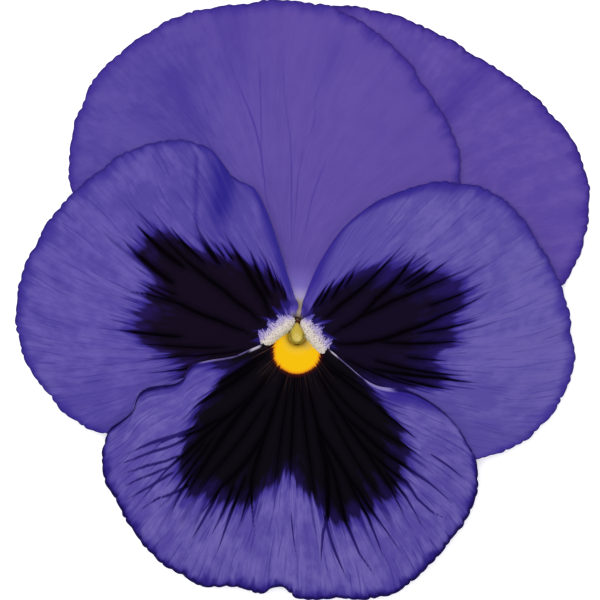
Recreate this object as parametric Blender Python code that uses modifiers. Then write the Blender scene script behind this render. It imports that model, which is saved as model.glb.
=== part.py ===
"""Pansy flower, cut with a short stem and lying face up on a table.

Five thin petals overlap like roof tiles: two upper petals at the back, two side petals on
them, and the spurred lower petal on top. Behind them are five sepals and the pedicel with its
receptacle. In the throat stand the cone of stamens and the pistil.

All lengths are in millimetres until an object is made. Places in plan are measured from the
flower's throat, x to the right and y up as the flower faces the viewer, and heights from the
table. The middle of the plan is moved to the origin at the end.
"""
import math

import bmesh
import bpy
import numpy as np
from mathutils.geometry import delaunay_2d_cdt

MM = 0.001                        # metres in a millimetre
CENTRE = (0.83, 5.06)             # middle of the flower's plan

# Petals: domed sheets on narrow claws round the axis of the receptacle
AXIS = (0.0, 1.3)                 # centre of receptacle, stamens and ovary
SHEET = 0.6                       # thickness of petals and sepals
CLAW_RADIUS = 1.75                # distance of the claws from the axis
CLAW_FLOOR = 7.9                  # height where the claws end
CLAW_FALLOFF = 0.4                # distance over which a claw rises to its blade
DOME_RADIUS = 42.0                # at this distance from the throat the dome has dropped by
DOME_DROP = 7.4
DOME_POWER = 1.6
WAVE_HEIGHT = 0.34                # broad waves that all the petals share
SCALLOP_LENGTH = 3.4              # small waves of the margin in plan
SCALLOP_DEPTH = 0.17
FINE, MARGIN, COARSE = 0.45, 1.2, 2.3   # spacing of points at claws, margins and in blades

# Spur of the lower petal: its mouth, and rings below it as (y, height, radius)
MOUTH = (0.0, -1.3)
MOUTH_RADIUS = 0.95
MOUTH_DEPTH = 3.3
MOUTH_FALLOFF = 0.45
MOUTH_POINTS = 24
SPUR = [(-1.36, 8.75, 0.96), (-1.68, 8.0, 0.97), (-2.0, 7.2, 1.0), (-2.3, 6.3, 1.04),
        (-2.58, 5.4, 1.06), (-2.82, 4.6, 1.02), (-3.05, 3.9, 0.88), (-3.22, 3.3, 0.62),
        (-3.32, 2.95, 0.3)]
SPUR_TIP = (0.0, -3.36, 2.86)

# Pedicel: round stem with a flat underside where it lies on the table
STEM_RADIUS = 0.95
STEM_FLAT = 0.12                  # height cut off the underside
RECEPTACLE_TOP = 7.5
RECEPTACLE_RADIUS = 1.75

# Height of each petal's blade at the throat, bearings of its claw's ends, and its margin
PETALS = {
    "petal_upper_left": dict(height=10.1, claw=(122, 74), margin=[
        (-1.7, 4.4), (-4.5, 6.5), (-9.0, 9.1), (-19.1, 12.1), (-26.0, 15.1), (-29.0, 19.2),
        (-29.6, 23.8), (-28.7, 28.6), (-25.6, 34.3), (-22.0, 38.2), (-18.1, 40.7),
        (-13.1, 42.8), (-7.9, 43.4), (-1.4, 44.1), (6.2, 42.4), (12.4, 38.1), (17.6, 31.3),
        (20.8, 25.0), (21.1, 19.5), (17.3, 14.7), (10.1, 10.1), (4.0, 6.5), (0.9, 4.4)]),
    "petal_upper_right": dict(height=8.92, claw=(64, 34), margin=[
        (0.8, 4.7), (-0.5, 8.8), (-1.7, 14.0), (-2.7, 21.8), (-2.5, 32.2), (-0.1, 40.0),
        (4.3, 43.3), (9.2, 42.9), (13.4, 42.0), (19.9, 38.9), (26.4, 34.6), (32.5, 30.2),
        (36.4, 24.7), (38.2, 19.0), (37.7, 14.3), (36.0, 9.4), (33.1, 5.5), (27.7, 2.6),
        (19.9, 0.5), (9.5, 0.3), (4.0, 1.7), (2.2, 2.7)]),
    "petal_side_left": dict(height=11.3, claw=(210, 142), margin=[
        (-3.8, -1.8), (-7.7, -4.8), (-12.6, -8.2), (-18.9, -11.4), (-24.4, -12.4),
        (-29.3, -10.5), (-33.4, -5.9), (-36.0, -1.2), (-36.5, 3.9), (-35.5, 9.0),
        (-33.4, 13.3), (-29.8, 18.1), (-23.9, 23.0), (-17.8, 25.6), (-11.6, 24.7),
        (-8.6, 21.1), (-5.6, 19.4), (-3.4, 15.3), (-2.1, 9.5), (-1.8, 6.2), (-2.3, 4.4),
        (-2.6, 3.1)]),
    "petal_side_right": dict(height=11.3, claw=(24, -30), margin=[
        (2.5, 2.9), (2.2, 4.4), (1.7, 6.2), (2.1, 9.1), (5.9, 14.2), (11.4, 18.2),
        (18.6, 20.2), (25.5, 18.9), (30.3, 14.0), (34.2, 6.9), (35.5, 2.3), (36.0, -3.1),
        (33.7, -9.2), (29.5, -13.3), (23.3, -15.7), (17.3, -14.6), (11.4, -11.6),
        (6.9, -7.5), (3.6, -2.6)]),
    "petal_lower": dict(height=12.8, margin=[
        (1.8, -0.65), (3.3, -1.2), (6.2, -3.3), (9.9, -6.0), (14.7, -6.9), (19.5, -10.1),
        (23.0, -15.6), (23.4, -19.8), (21.5, -24.4), (17.3, -29.9), (12.1, -33.0),
        (5.6, -33.9), (0.4, -33.7), (-2.1, -32.5), (-4.6, -33.2), (-11.8, -31.9),
        (-18.1, -28.5), (-22.0, -23.7), (-25.1, -17.4), (-24.4, -12.1), (-21.3, -9.6),
        (-19.5, -6.5), (-15.2, -5.7), (-13.1, -3.3), (-8.1, -2.3), (-3.3, -0.8),
        (-1.7, -0.65)]),
}

# Further droop of each petal's free margin: depth, the distances between which it sets in,
# and the bearings between which it does
DROOP = {
    "petal_upper_left": (1.37, (24, 43), (96, 124)),
    "petal_upper_right": (0.0, (24, 43), (0, 1)),
    "petal_side_left": (1.4, (20, 36), (165, 200)),
    "petal_side_right": (1.4, (20, 36), (375, 340)),
    "petal_lower": (1.6, (20, 36), (200, 225)),
}

# Sepals: bearing from the axis, length and height of the tip
SEPALS = {
    "sepal_top": (92, 13.8, 6.0),
    "sepal_upper_right": (22, 14.6, 6.0),
    "sepal_upper_left": (156, 14.6, 6.0),
    "sepal_lower_right": (-43, 15.6, 7.2),
    "sepal_lower_left": (-137, 15.6, 7.2),
}
# Ear of a sepal, behind its attachment: distance from the axis, height and half width
SEPAL_EAR = [(3.15, 4.15, 0.62), (2.9, 4.5, 0.98), (2.62, 5.0, 1.12), (2.42, 5.5, 1.08),
             (2.36, 6.0, 0.98), (2.7, 6.45, 0.95)]

# Bracteoles on the stem: place, bearing, and path as (distance, height, half width)
BRACTEOLES = [((-0.40, -13.0), 124), ((-0.45, -14.2), 58)]
BRACTEOLE_PATH = [(0.2, 0.95, 0.45), (1.0, 1.1, 0.62), (1.9, 1.35, 0.66), (2.9, 1.75, 0.5),
                  (3.9, 2.25, 0.2)]

# Pistil along its bent axis, as (height, radius): ovary, style and round head
PISTIL = [(7.8, 0.3), (8.1, 0.44), (8.6, 0.52), (9.1, 0.49), (9.6, 0.36), (10.0, 0.27),
          (10.8, 0.25), (11.4, 0.28), (11.85, 0.42), (12.1, 0.68), (12.5, 0.98),
          (12.9, 1.12), (13.3, 1.12), (13.7, 0.98), (14.0, 0.74), (14.2, 0.46), (14.3, 0.2)]
HEAD_Y = 0.45                     # y of the round head, in front of the ovary
HOLLOW = (0.0, -0.35, 13.95, 0.34)   # x, y, height and radius of the head's hollow

# Stamens: cone of five anthers, as heights and radii
ANTHER_FOOT, ANTHER_HEIGHT = 7.85, 2.2
ANTHER_TIP = 0.75                 # how far each anther's tip rises above the seams
ANTHER_STEPS = 40


def step(value, low, high):
    """Smooth rise from 0 at low to 1 at high."""
    t = np.clip((value - low) / (high - low), 0.0, 1.0)
    return t * t * (3 - 2 * t)


def ring(centre, radius, bearings):
    """Points of a circle in plan at bearings in degrees."""
    a = np.radians(np.asarray(bearings, float))
    return np.column_stack([centre[0] + radius * np.cos(a), centre[1] + radius * np.sin(a)])


def smooth_curve(points):
    """Dense centripetal Catmull-Rom curve through the points."""
    p = np.vstack([2 * points[0] - points[1], points, 2 * points[-1] - points[-2]])
    knot = np.concatenate([[0], np.cumsum(np.sqrt(np.linalg.norm(np.diff(p, axis=0), axis=1)))])
    t = np.linspace(knot[1], knot[-2], 6000)
    i = np.clip(np.searchsorted(knot, t, side="right") - 1, 1, len(p) - 3)

    def blend(left, right, a, b):
        w = ((t - knot[a]) / (knot[b] - knot[a]))[:, None]
        return left * (1 - w) + right * w

    a1, a2, a3 = (blend(p[i + k - 1], p[i + k], i + k - 1, i + k) for k in range(3))
    b1, b2 = blend(a1, a2, i - 1, i + 1), blend(a2, a3, i, i + 2)
    return blend(b1, b2, i, i + 1)


def spacing(distance, widest):
    """Distance between neighbouring points, growing away from the claw."""
    return np.clip(FINE + 0.28 * (distance - CLAW_RADIUS), FINE, widest)


def margin_points(points, centre):
    """Scalloped margin through the points, closer together near the claw."""
    curve = smooth_curve(points)
    length = np.linalg.norm(np.diff(curve, axis=0), axis=1)
    along = np.concatenate([[0], np.cumsum(length)])
    tangent = np.gradient(curve, along, axis=0)
    phase = 2 * np.pi * along / SCALLOP_LENGTH
    distance = np.linalg.norm(curve - centre, axis=1)
    scallop = SCALLOP_DEPTH * np.sin(phase + 1.4 * np.sin(phase / 4.7)) * step(distance, 12, 20)
    curve = curve + scallop[:, None] * np.column_stack([tangent[:, 1], -tangent[:, 0]])
    gaps = length / spacing((distance[1:] + distance[:-1]) / 2, MARGIN)
    total = np.concatenate([[0], np.cumsum(gaps)])
    stops = np.linspace(0, total[-1], int(round(total[-1])) + 1)
    return np.column_stack([np.interp(stops, total, curve[:, k]) for k in range(2)])


def inside(points, loop):
    """True for the points within a closed loop."""
    x, y = points[:, 0:1], points[:, 1:2]
    x1, y1 = loop[:, 0], loop[:, 1]
    x2, y2 = np.roll(x1, -1), np.roll(y1, -1)
    crosses = (y1 > y) != (y2 > y)
    rise = np.where(y2 == y1, 1.0, y2 - y1)
    return (crosses & (x < (x2 - x1) * (y - y1) / rise + x1)).sum(axis=1) % 2 == 1


def blade_height(name, x, y):
    """Height of the middle of a petal above the table, at places in plan."""
    height = PETALS[name]["height"]
    r, a = np.hypot(x, y), np.arctan2(y, x)
    bearing = np.degrees(a) % 360
    wave = np.sin(5 * a + 0.6) + 0.6 * np.sin(9 * a + 2.1 + 0.05 * r)
    z = height - DOME_DROP * (r / DOME_RADIUS) ** DOME_POWER + WAVE_HEIGHT * wave * step(r, 6, 34)
    depth, distances, bearings = DROOP[name]
    if name == "petal_side_right":
        bearing = np.where(bearing < 180, bearing + 360, bearing)
    z -= depth * step(r, *distances) * step(bearing, *bearings)
    if name == "petal_lower":
        mouth = np.maximum(np.hypot(x - MOUTH[0], y - MOUTH[1]) - MOUTH_RADIUS, 0)
        return z - MOUTH_DEPTH * np.exp(-mouth / MOUTH_FALLOFF)
    claw = np.hypot(x - AXIS[0], y - AXIS[1]) - CLAW_RADIUS
    return z - (height - CLAW_FLOOR) * np.exp(-claw / CLAW_FALLOFF)


def material(name, colour, roughness):
    made = bpy.data.materials.new(name)
    made.use_nodes = True
    shader = made.node_tree.nodes["Principled BSDF"]
    shader.inputs["Base Color"].default_value = (*colour, 1)
    shader.inputs["Roughness"].default_value = roughness
    return made


def finish(made, surface):
    """Gives an object its material, smooth shading and a place among the parts."""
    made.data.materials.clear()
    made.data.materials.append(surface)
    made.data.shade_smooth()
    for held in list(made.users_collection):
        held.objects.unlink(made)
    bpy.data.collections["pansy_flower"].objects.link(made)
    return made


def object_from(bm, name, surface):
    """Object from a bmesh in millimetres from the throat."""
    bmesh.ops.recalc_face_normals(bm, faces=bm.faces)
    for v in bm.verts:
        v.co = ((v.co.x - CENTRE[0]) * MM, (v.co.y - CENTRE[1]) * MM, v.co.z * MM)
    mesh = bpy.data.meshes.new(name)
    bm.to_mesh(mesh)
    bm.free()
    return finish(bpy.data.objects.new(name, mesh), surface)


def thicken(sheet):
    """Thickness, half to each side, with alike triangles on both faces."""
    sheet.modifiers.new("triangles", "TRIANGULATE").quad_method = "FIXED"
    solid = sheet.modifiers.new("thickness", "SOLIDIFY")
    solid.thickness = SHEET * MM
    solid.offset = 0.0
    sheet.modifiers.new("rim", "TRIANGULATE").quad_method = "FIXED"
    return sheet


def add_blade(bm, loop, centre, start, name):
    """Fills a closed loop with triangles at the blade's height; returns the loop's vertices."""
    rings = []
    radius, turn = start, 0.0
    while radius < 52:
        count = int(2 * math.pi * radius / (1.04 * spacing(radius, COARSE)))
        rings.append(ring(centre, radius, 360 * (np.arange(count) + turn) / count))
        radius += 0.87 * spacing(radius, COARSE)
        turn += 0.5
    inner = np.vstack(rings)
    inner = inner[inside(inner, loop)]
    nearest = np.sqrt(((inner[:, None, :] - loop[None, :, :]) ** 2).sum(axis=2)).min(axis=1)
    room = spacing(np.linalg.norm(inner - centre, axis=1), MARGIN)
    plan = np.vstack([loop, inner[nearest > 0.6 * room]])
    flat, _, faces, origin, _, _ = delaunay_2d_cdt(
        [tuple(p) for p in plan.tolist()], [], [list(range(len(loop)))], 1, 1e-7)
    x, y = np.array([tuple(v) for v in flat]).T
    verts = [bm.verts.new(v) for v in zip(x, y, blade_height(name, x, y))]
    for face in faces:
        bm.faces.new([verts[i] for i in face])
    found = {origin[k][0]: verts[k] for k in range(len(verts)) if origin[k]}
    return [found[k] for k in range(len(loop))]


def claw_petal(name, surface):
    """Upper or side petal: a blade whose narrow claw stands on an arc round the axis."""
    first, last = PETALS[name]["claw"]
    ends = ring(AXIS, CLAW_RADIUS, (first, last))
    margin = margin_points(np.vstack([ends[:1], PETALS[name]["margin"], ends[1:]]), AXIS)
    pieces = abs(first - last) // 12
    arc = ring(AXIS, CLAW_RADIUS, np.linspace(last, first, pieces + 1)[1:-1])
    bm = bmesh.new()
    add_blade(bm, np.vstack([margin, arc]), np.array(AXIS), CLAW_RADIUS + 0.3, name)
    return thicken(object_from(bm, name, surface))


def spurred_petal(name, surface):
    """Lower petal: a blade joined to the front of the mouth, and the spur below the mouth."""
    bearings = np.arange(MOUTH_POINTS) * 360.0 / MOUTH_POINTS
    mouth = ring(MOUTH, MOUTH_RADIUS, bearings)
    right, left = MOUTH_POINTS // 12, MOUTH_POINTS * 5 // 12
    front = list(range(left + 1, MOUTH_POINTS + right))
    margin = margin_points(np.vstack([mouth[right], PETALS[name]["margin"], mouth[left]]), MOUTH)
    loop = np.vstack([margin] + [mouth[i % MOUTH_POINTS] for i in front])
    bm = bmesh.new()
    edge = add_blade(bm, loop, np.array(MOUTH), MOUTH_RADIUS + 0.25, name)
    top = {right: edge[0], left: edge[len(margin) - 1]}
    top.update({i % MOUTH_POINTS: edge[len(margin) + n] for n, i in enumerate(front)})
    for i in range(right + 1, left):
        top[i] = bm.verts.new((mouth[i][0], mouth[i][1], edge[0].co.z))
    above = [top[i] for i in range(MOUTH_POINTS)]
    for y, height, radius in SPUR:
        below = [bm.verts.new((x, y, height)) for x, y in ring((0.0, y), radius, bearings)]
        for i in range(MOUTH_POINTS):
            k = (i + 1) % MOUTH_POINTS
            bm.faces.new((above[i], above[k], below[k], below[i]))
        above = below
    tip = bm.verts.new(SPUR_TIP)
    for i in range(MOUTH_POINTS):
        bm.faces.new((above[i], above[(i + 1) % MOUTH_POINTS], tip))
    return thicken(object_from(bm, name, surface))


def strip(name, surface, path, start, bearing, across):
    """Leaf-like strip along a path of (distance, height, half width), a little cupped."""
    bm = bmesh.new()
    bmesh.ops.create_grid(bm, x_segments=len(path) - 1, y_segments=across, size=1.0)
    a = math.radians(bearing)
    for v in bm.verts:
        distance, height, width = path[round((v.co.x + 1) / 2 * (len(path) - 1))]
        side = v.co.y * width
        v.co = (start[0] + math.cos(a) * distance - math.sin(a) * side,
                start[1] + math.sin(a) * distance + math.cos(a) * side,
                height + 0.1 * width * v.co.y ** 2)
    return thicken(object_from(bm, name, surface))


def sepal(name, surface):
    """Lance-shaped sepal with a short rounded ear that points back past its attachment."""
    bearing, length, tip = SEPALS[name]
    near, low, _ = SEPAL_EAR[-1]
    blade = []
    for t in np.linspace(0.1, 1.0, 10):
        width = 0.25 + 0.7 * (1 - t) ** 2 + 5.6 * t * (1 - t) ** 0.9 * (1 - 0.32 * t)
        blade.append((near + (length - near) * t,
                      low + (tip - low) * t + 0.35 * math.sin(math.pi * t), width))
    return strip(name, surface, SEPAL_EAR + blade, AXIS, bearing, 4)


def stalk(name, surface, path, sides):
    """Closed round body along a path of (x, y, height, radius), from a bevelled curve."""
    curve = bpy.data.curves.new(name, "CURVE")
    curve.dimensions = "3D"
    curve.bevel_depth = MM
    curve.bevel_resolution = sides // 2 - 2
    curve.use_fill_caps = True
    spline = curve.splines.new("POLY")
    spline.points.add(len(path) - 1)
    for point, (x, y, height, radius) in zip(spline.points, path):
        point.co = ((x - CENTRE[0]) * MM, (y - CENTRE[1]) * MM, height * MM, 1)
        point.radius = radius
    drawn = bpy.data.objects.new(name + "_curve", curve)
    bpy.context.scene.collection.objects.link(drawn)
    mesh = bpy.data.meshes.new_from_object(
        drawn.evaluated_get(bpy.context.evaluated_depsgraph_get()))
    bpy.data.objects.remove(drawn)
    bm = bmesh.new()
    bm.from_mesh(mesh)
    bmesh.ops.remove_doubles(bm, verts=bm.verts, dist=1e-6)
    bmesh.ops.recalc_face_normals(bm, faces=bm.faces)
    bm.to_mesh(mesh)
    bm.free()
    mesh.name = name
    return finish(bpy.data.objects.new(name, mesh), surface)


def boolean(target, other, operation):
    """Exact Boolean with another object, applied, and the other object removed."""
    modifier = target.modifiers.new("boolean", "BOOLEAN")
    modifier.operation = operation
    modifier.solver = "EXACT"
    modifier.object = other
    depsgraph = bpy.context.evaluated_depsgraph_get()
    target.data = bpy.data.meshes.new_from_object(target.evaluated_get(depsgraph))
    target.modifiers.clear()
    bpy.data.objects.remove(other)


def pedicel(name, surface):
    """Receptacle, bend, and stem lying on the table, with two bracteoles fused on."""
    rest = STEM_RADIUS - STEM_FLAT
    x, y = AXIS
    path = [(x, y, RECEPTACLE_TOP, 1.62), (x, y, 7.3, RECEPTACLE_RADIUS),
            (x, y, 6.4, RECEPTACLE_RADIUS), (x, y, 5.7, 1.55), (x, y, 5.2, 1.25)]
    bend = [(0, 1.32, 4.7), (0, 1.3, 4.2), (0, 1.15, 3.6), (0, 0.85, 2.95), (0, 0.35, 2.3),
            (0, -0.4, 1.7), (0, -1.4, 1.2), (0, -2.6, 0.93), (0, -4.0, rest)]
    lying = [(-0.1, -7), (-0.3, -11), (-0.5, -15), (-0.6, -19), (-0.5, -23), (-0.3, -26.5),
             (-0.1, -29)]
    path += [(*point, STEM_RADIUS) for point in bend]
    path += [(*point, rest, STEM_RADIUS) for point in lying]
    stem = stalk(name, surface, path, 16)
    for start, bearing in BRACTEOLES:
        scale = strip("bracteole", surface, BRACTEOLE_PATH, start, bearing, 2)
        boolean(stem, scale, "UNION")
    bm = bmesh.new()
    bmesh.ops.create_cube(bm, size=1.0)
    for v in bm.verts:
        v.co = (v.co.x * 20, v.co.y * 100, (v.co.z - 0.5) * 5)
    boolean(stem, object_from(bm, "below_table", surface), "DIFFERENCE")
    return finish(stem, surface)


def stamens(name, surface):
    """Cone of five anthers that cohere by their edges: a turned ring, pressed into lobes."""
    bm = bmesh.new()
    levels = np.linspace(0, 1, 6)
    section = [(0.0, t) for t in levels] + [(1.0, t) for t in levels[::-1]]
    profile = [bm.verts.new((side, 0, t)) for side, t in section]
    edges = [bm.edges.new((profile[k - 1], profile[k])) for k in range(len(profile))]
    bmesh.ops.translate(bm, verts=profile, vec=(1, 0, 0))
    bmesh.ops.spin(bm, geom=profile + edges, cent=(0, 0, 0), axis=(0, 0, 1),
                   angle=2 * math.pi, steps=ANTHER_STEPS, use_merge=True)
    for v in bm.verts:
        angle, side, t = math.atan2(v.co.y, v.co.x), math.hypot(v.co.x, v.co.y) - 1, v.co.z
        lobe = abs(math.cos(2.5 * (angle - math.pi / 2)))
        wall = 0.22 + 0.26 * lobe * math.sin(math.pi * (0.12 + 0.8 * t)) ** 0.7
        radius = 0.72 - 0.26 * float(step(t, 0.45, 1.0)) + side * wall
        v.co = (AXIS[0] + radius * math.cos(angle), AXIS[1] + radius * math.sin(angle),
                ANTHER_FOOT + t * (ANTHER_HEIGHT + ANTHER_TIP * lobe) + 0.12 * lobe * (1 - t))
    return object_from(bm, name, surface)


def pistil(name, surface):
    """Ovary, bent style and round head with the small hollow in its front."""
    path = [(0.0, AXIS[1] + (HEAD_Y - AXIS[1]) * float(step(height, 9.6, 12.4)), height, radius)
            for height, radius in PISTIL]
    body = stalk(name, surface, path, 16)
    x, y, height, radius = HOLLOW
    bm = bmesh.new()
    bmesh.ops.create_uvsphere(bm, u_segments=12, v_segments=8, radius=radius)
    bmesh.ops.translate(bm, verts=bm.verts, vec=(x, y, height))
    boolean(body, object_from(bm, "hollow", surface), "DIFFERENCE")
    return finish(body, surface)


def main():
    for old in list(bpy.data.objects):
        bpy.data.objects.remove(old)
    parts = bpy.data.collections.new("pansy_flower")
    bpy.context.scene.collection.children.link(parts)
    for name in PETALS:
        build = spurred_petal if name == "petal_lower" else claw_petal
        build(name, material(name, (0.11, 0.08, 0.37), 0.6))
    for name in SEPALS:
        sepal(name, material(name, (0.16, 0.30, 0.07), 0.5))
    pedicel("pedicel", material("pedicel", (0.20, 0.34, 0.09), 0.5))
    stamens("stamens", material("stamens", (0.55, 0.22, 0.05), 0.5))
    pistil("pistil", material("pistil", (0.42, 0.36, 0.07), 0.4))


main()
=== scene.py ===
# %% [markdown]
# # A pansy flower, from solids to living skins
# The solids of the flower are built already: five petals, five sepals, a stem, the stamens and
# the pistil, each where it grows. They are a little thick and each has one colour. This lesson
# makes the thin, veined and velvety skins that stand in for them. Every skin is a formula on
# whole arrays, and it keeps to the solid that it replaces, so nothing has to be fitted later.

# %% Load the frame
import bpy
import numpy as np
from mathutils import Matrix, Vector


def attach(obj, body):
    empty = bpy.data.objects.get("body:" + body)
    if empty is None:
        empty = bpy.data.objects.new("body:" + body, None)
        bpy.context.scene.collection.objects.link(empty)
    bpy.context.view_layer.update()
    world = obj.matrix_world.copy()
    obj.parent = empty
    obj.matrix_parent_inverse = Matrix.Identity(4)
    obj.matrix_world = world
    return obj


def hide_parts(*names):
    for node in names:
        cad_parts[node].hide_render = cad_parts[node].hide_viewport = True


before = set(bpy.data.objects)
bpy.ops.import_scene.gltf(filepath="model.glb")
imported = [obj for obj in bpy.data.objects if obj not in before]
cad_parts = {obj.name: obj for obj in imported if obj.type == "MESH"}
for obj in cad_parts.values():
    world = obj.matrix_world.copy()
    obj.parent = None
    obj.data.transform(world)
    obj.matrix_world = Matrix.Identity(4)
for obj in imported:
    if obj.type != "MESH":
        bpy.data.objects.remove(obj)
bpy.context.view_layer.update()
print("solids in the frame:", len(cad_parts))

# %% [markdown]
# ## Two measures and one smooth step
# A flower is easiest to draw in millimetres from its throat, with x to the right and y up as
# it faces the viewer, and heights from the table. Blender wants metres from the middle of the
# flower, so one function turns the first into the second at the very end.

# %% Units and helpers
MM = 0.001
CENTRE = (0.83, 5.06, 0.0)        # middle of the flower's plan, seen from the throat
AXIS = (0.0, 1.3)                 # receptacle, stamens and ovary stand round this place


def to_frame(points):
    """Millimetres from the throat become metres in the frame: take off the middle, times 0.001."""
    return (np.asarray(points, float) - CENTRE) * MM


def rise(value, low, high):
    """Smooth step: 0 below low, 1 above high, and 3t^2 - 2t^3 between, t being the way gone."""
    t = np.clip((np.asarray(value, float) - low) / (high - low), 0.0, 1.0)
    return t * t * (3 - 2 * t)


def unit(vectors):
    """Each vector divided by its length."""
    return vectors / np.maximum(np.linalg.norm(vectors, axis=-1, keepdims=True), 1e-12)


def walked(points):
    """Way walked along a line of points up to each of them."""
    return np.concatenate([[0], np.cumsum(np.linalg.norm(np.diff(points, axis=0), axis=1))])


def read_off(table, share, knots=None):
    """Columns of a path's table at shares of the way, its rows standing evenly or at knots."""
    table = np.array(table)
    knots = np.linspace(0, 1, len(table)) if knots is None else knots
    return [np.interp(share, knots, column) for column in table.T]


def ripple(x, lengths, seed):
    """Irregular wave along x: a sum of sines with these wavelengths and seeded phases, within 1."""
    phases = np.random.default_rng(seed).uniform(0, 2 * np.pi, len(lengths))
    waves = [np.sin(2 * np.pi * x / length + phase) for length, phase in zip(lengths, phases)]
    return sum(waves) / len(waves)


# %% [markdown]
# ## Where the viewer stands
# The bloom lies face up and is seen from straight above through a long lens, which keeps the
# flower as flat as the photograph shows it. One pixel of the picture is 0.13 mm on the flower.

# %% Camera
GRAIN, PICTURE = 0.13, 600        # mm on the flower for a pixel, pixels across the picture
LENS, FILM = 400.0, 36.0
AIM = (-0.44, -0.12, 5.0)         # middle of the picture, mm in the frame

distance = GRAIN * PICTURE * LENS / FILM
lens = bpy.data.cameras.new("view")
lens.lens, lens.sensor_width = LENS, FILM
lens.clip_start, lens.clip_end = 0.01, 20.0
camera = bpy.data.objects.new("view", lens)
camera.location = Vector((AIM[0], AIM[1], AIM[2] + distance)) * MM
bpy.context.scene.collection.objects.link(camera)
bpy.context.scene.camera = camera
print(f"camera {distance:.0f} mm above the petals")

# %% [markdown]
# ## Light and floor
# On a copy stand a flower shows hardly any shadow, because the main lamp hangs beside the lens
# and the shadow hides under the petals. A soft box right above does the same here. A second one
# at the side and a pale sky fill in, and leave just enough shade to read the form.

# %% Light
scene = bpy.context.scene
scene.view_settings.view_transform = "Standard"
world = bpy.data.worlds.new("studio")
world.use_nodes = True
world.node_tree.nodes["Background"].inputs["Color"].default_value = (1, 1, 1, 1)
world.node_tree.nodes["Background"].inputs["Strength"].default_value = 0.5
scene.world = world


def softbox(name, place, size, power):
    """Square lamp at a place in metres, turned to the flower and unseen by the camera."""
    lamp = bpy.data.lights.new(name, "AREA")
    lamp.size, lamp.energy = size, power
    light = bpy.data.objects.new(name, lamp)
    light.location = place
    light.rotation_euler = (-Vector(place)).to_track_quat("-Z", "Y").to_euler()
    light.visible_camera = False
    scene.collection.objects.link(light)


softbox("key", (-0.03, 0.05, 1.5), 0.5, 17.0)
softbox("side", (-0.45, 0.5, 1.3), 1.0, 5.0)
print("lamps:", len(bpy.data.lights))

# %% [markdown]
# ## Colours
# The colours below are read from the flower as screen values from 0 to 255. A shader works with
# light, not with screen values, so each is turned linear and divided by the brightness that a
# white sheet has under these lamps.

# %% Tints
BRIGHTNESS = 1.3                 # a white sheet's brightness under the lamps, 1 being white


def tint(red, green, blue):
    """Screen colour to shader colour: each value is undone by the screen's curve and scaled."""
    screen = np.array([red, green, blue]) / 255
    linear = np.where(screen < 0.04045, screen / 12.92, ((screen + 0.055) / 1.055) ** 2.4)
    return (*np.clip(linear / BRIGHTNESS, 0, 1).tolist(), 1.0)


print("a white sheet in the shader:", np.round(tint(255, 255, 255)[:3], 2))


# %% [markdown]
# ## A small language for finishes
# A finish is a graph of nodes, but its maths reads better as Python. Wire holds a socket and
# overloads the operators, so 1 - mask adds a Math node. Finish owns one material: node() makes
# any node from its type, settings and inputs, and mix() blends two colours, which may be
# links, three screen values or four shader values.

# %% Wire and Finish


class Wire:
    """A socket that Python's operators can work on, each adding a Math node."""

    def __init__(self, finish, socket):
        self.finish, self.socket = finish, socket

    def maths(self, operation, *others):
        return self.finish.node("ShaderNodeMath", {"operation": operation},
                                {i: value for i, value in enumerate((self, *others))})

    def __add__(self, other):
        return self.maths("ADD", other)

    def __sub__(self, other):
        return self.maths("SUBTRACT", other)

    def __rsub__(self, other):
        return self.finish.node("ShaderNodeMath", {"operation": "SUBTRACT"}, {0: other, 1: self})

    def __mul__(self, other):
        return self.maths("MULTIPLY", other)

    def __truediv__(self, other):
        return self.maths("DIVIDE", other)

    def __pow__(self, other):
        return self.maths("POWER", other)

    __radd__, __rmul__ = __add__, __mul__

    def size(self):
        return self.maths("ABSOLUTE")

    def most(self, other):
        return self.maths("MAXIMUM", other)

    def rise(self, low, high):
        """The same smooth step as above, as a Map Range node."""
        return self.finish.node("ShaderNodeMapRange", {"interpolation_type": "SMOOTHSTEP"},
                                {"Value": self, "From Min": low, "From Max": high})

    def fall(self, low, high):
        """The step the other way: 1 below low and 0 above high."""
        return 1 - self.rise(low, high)


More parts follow.
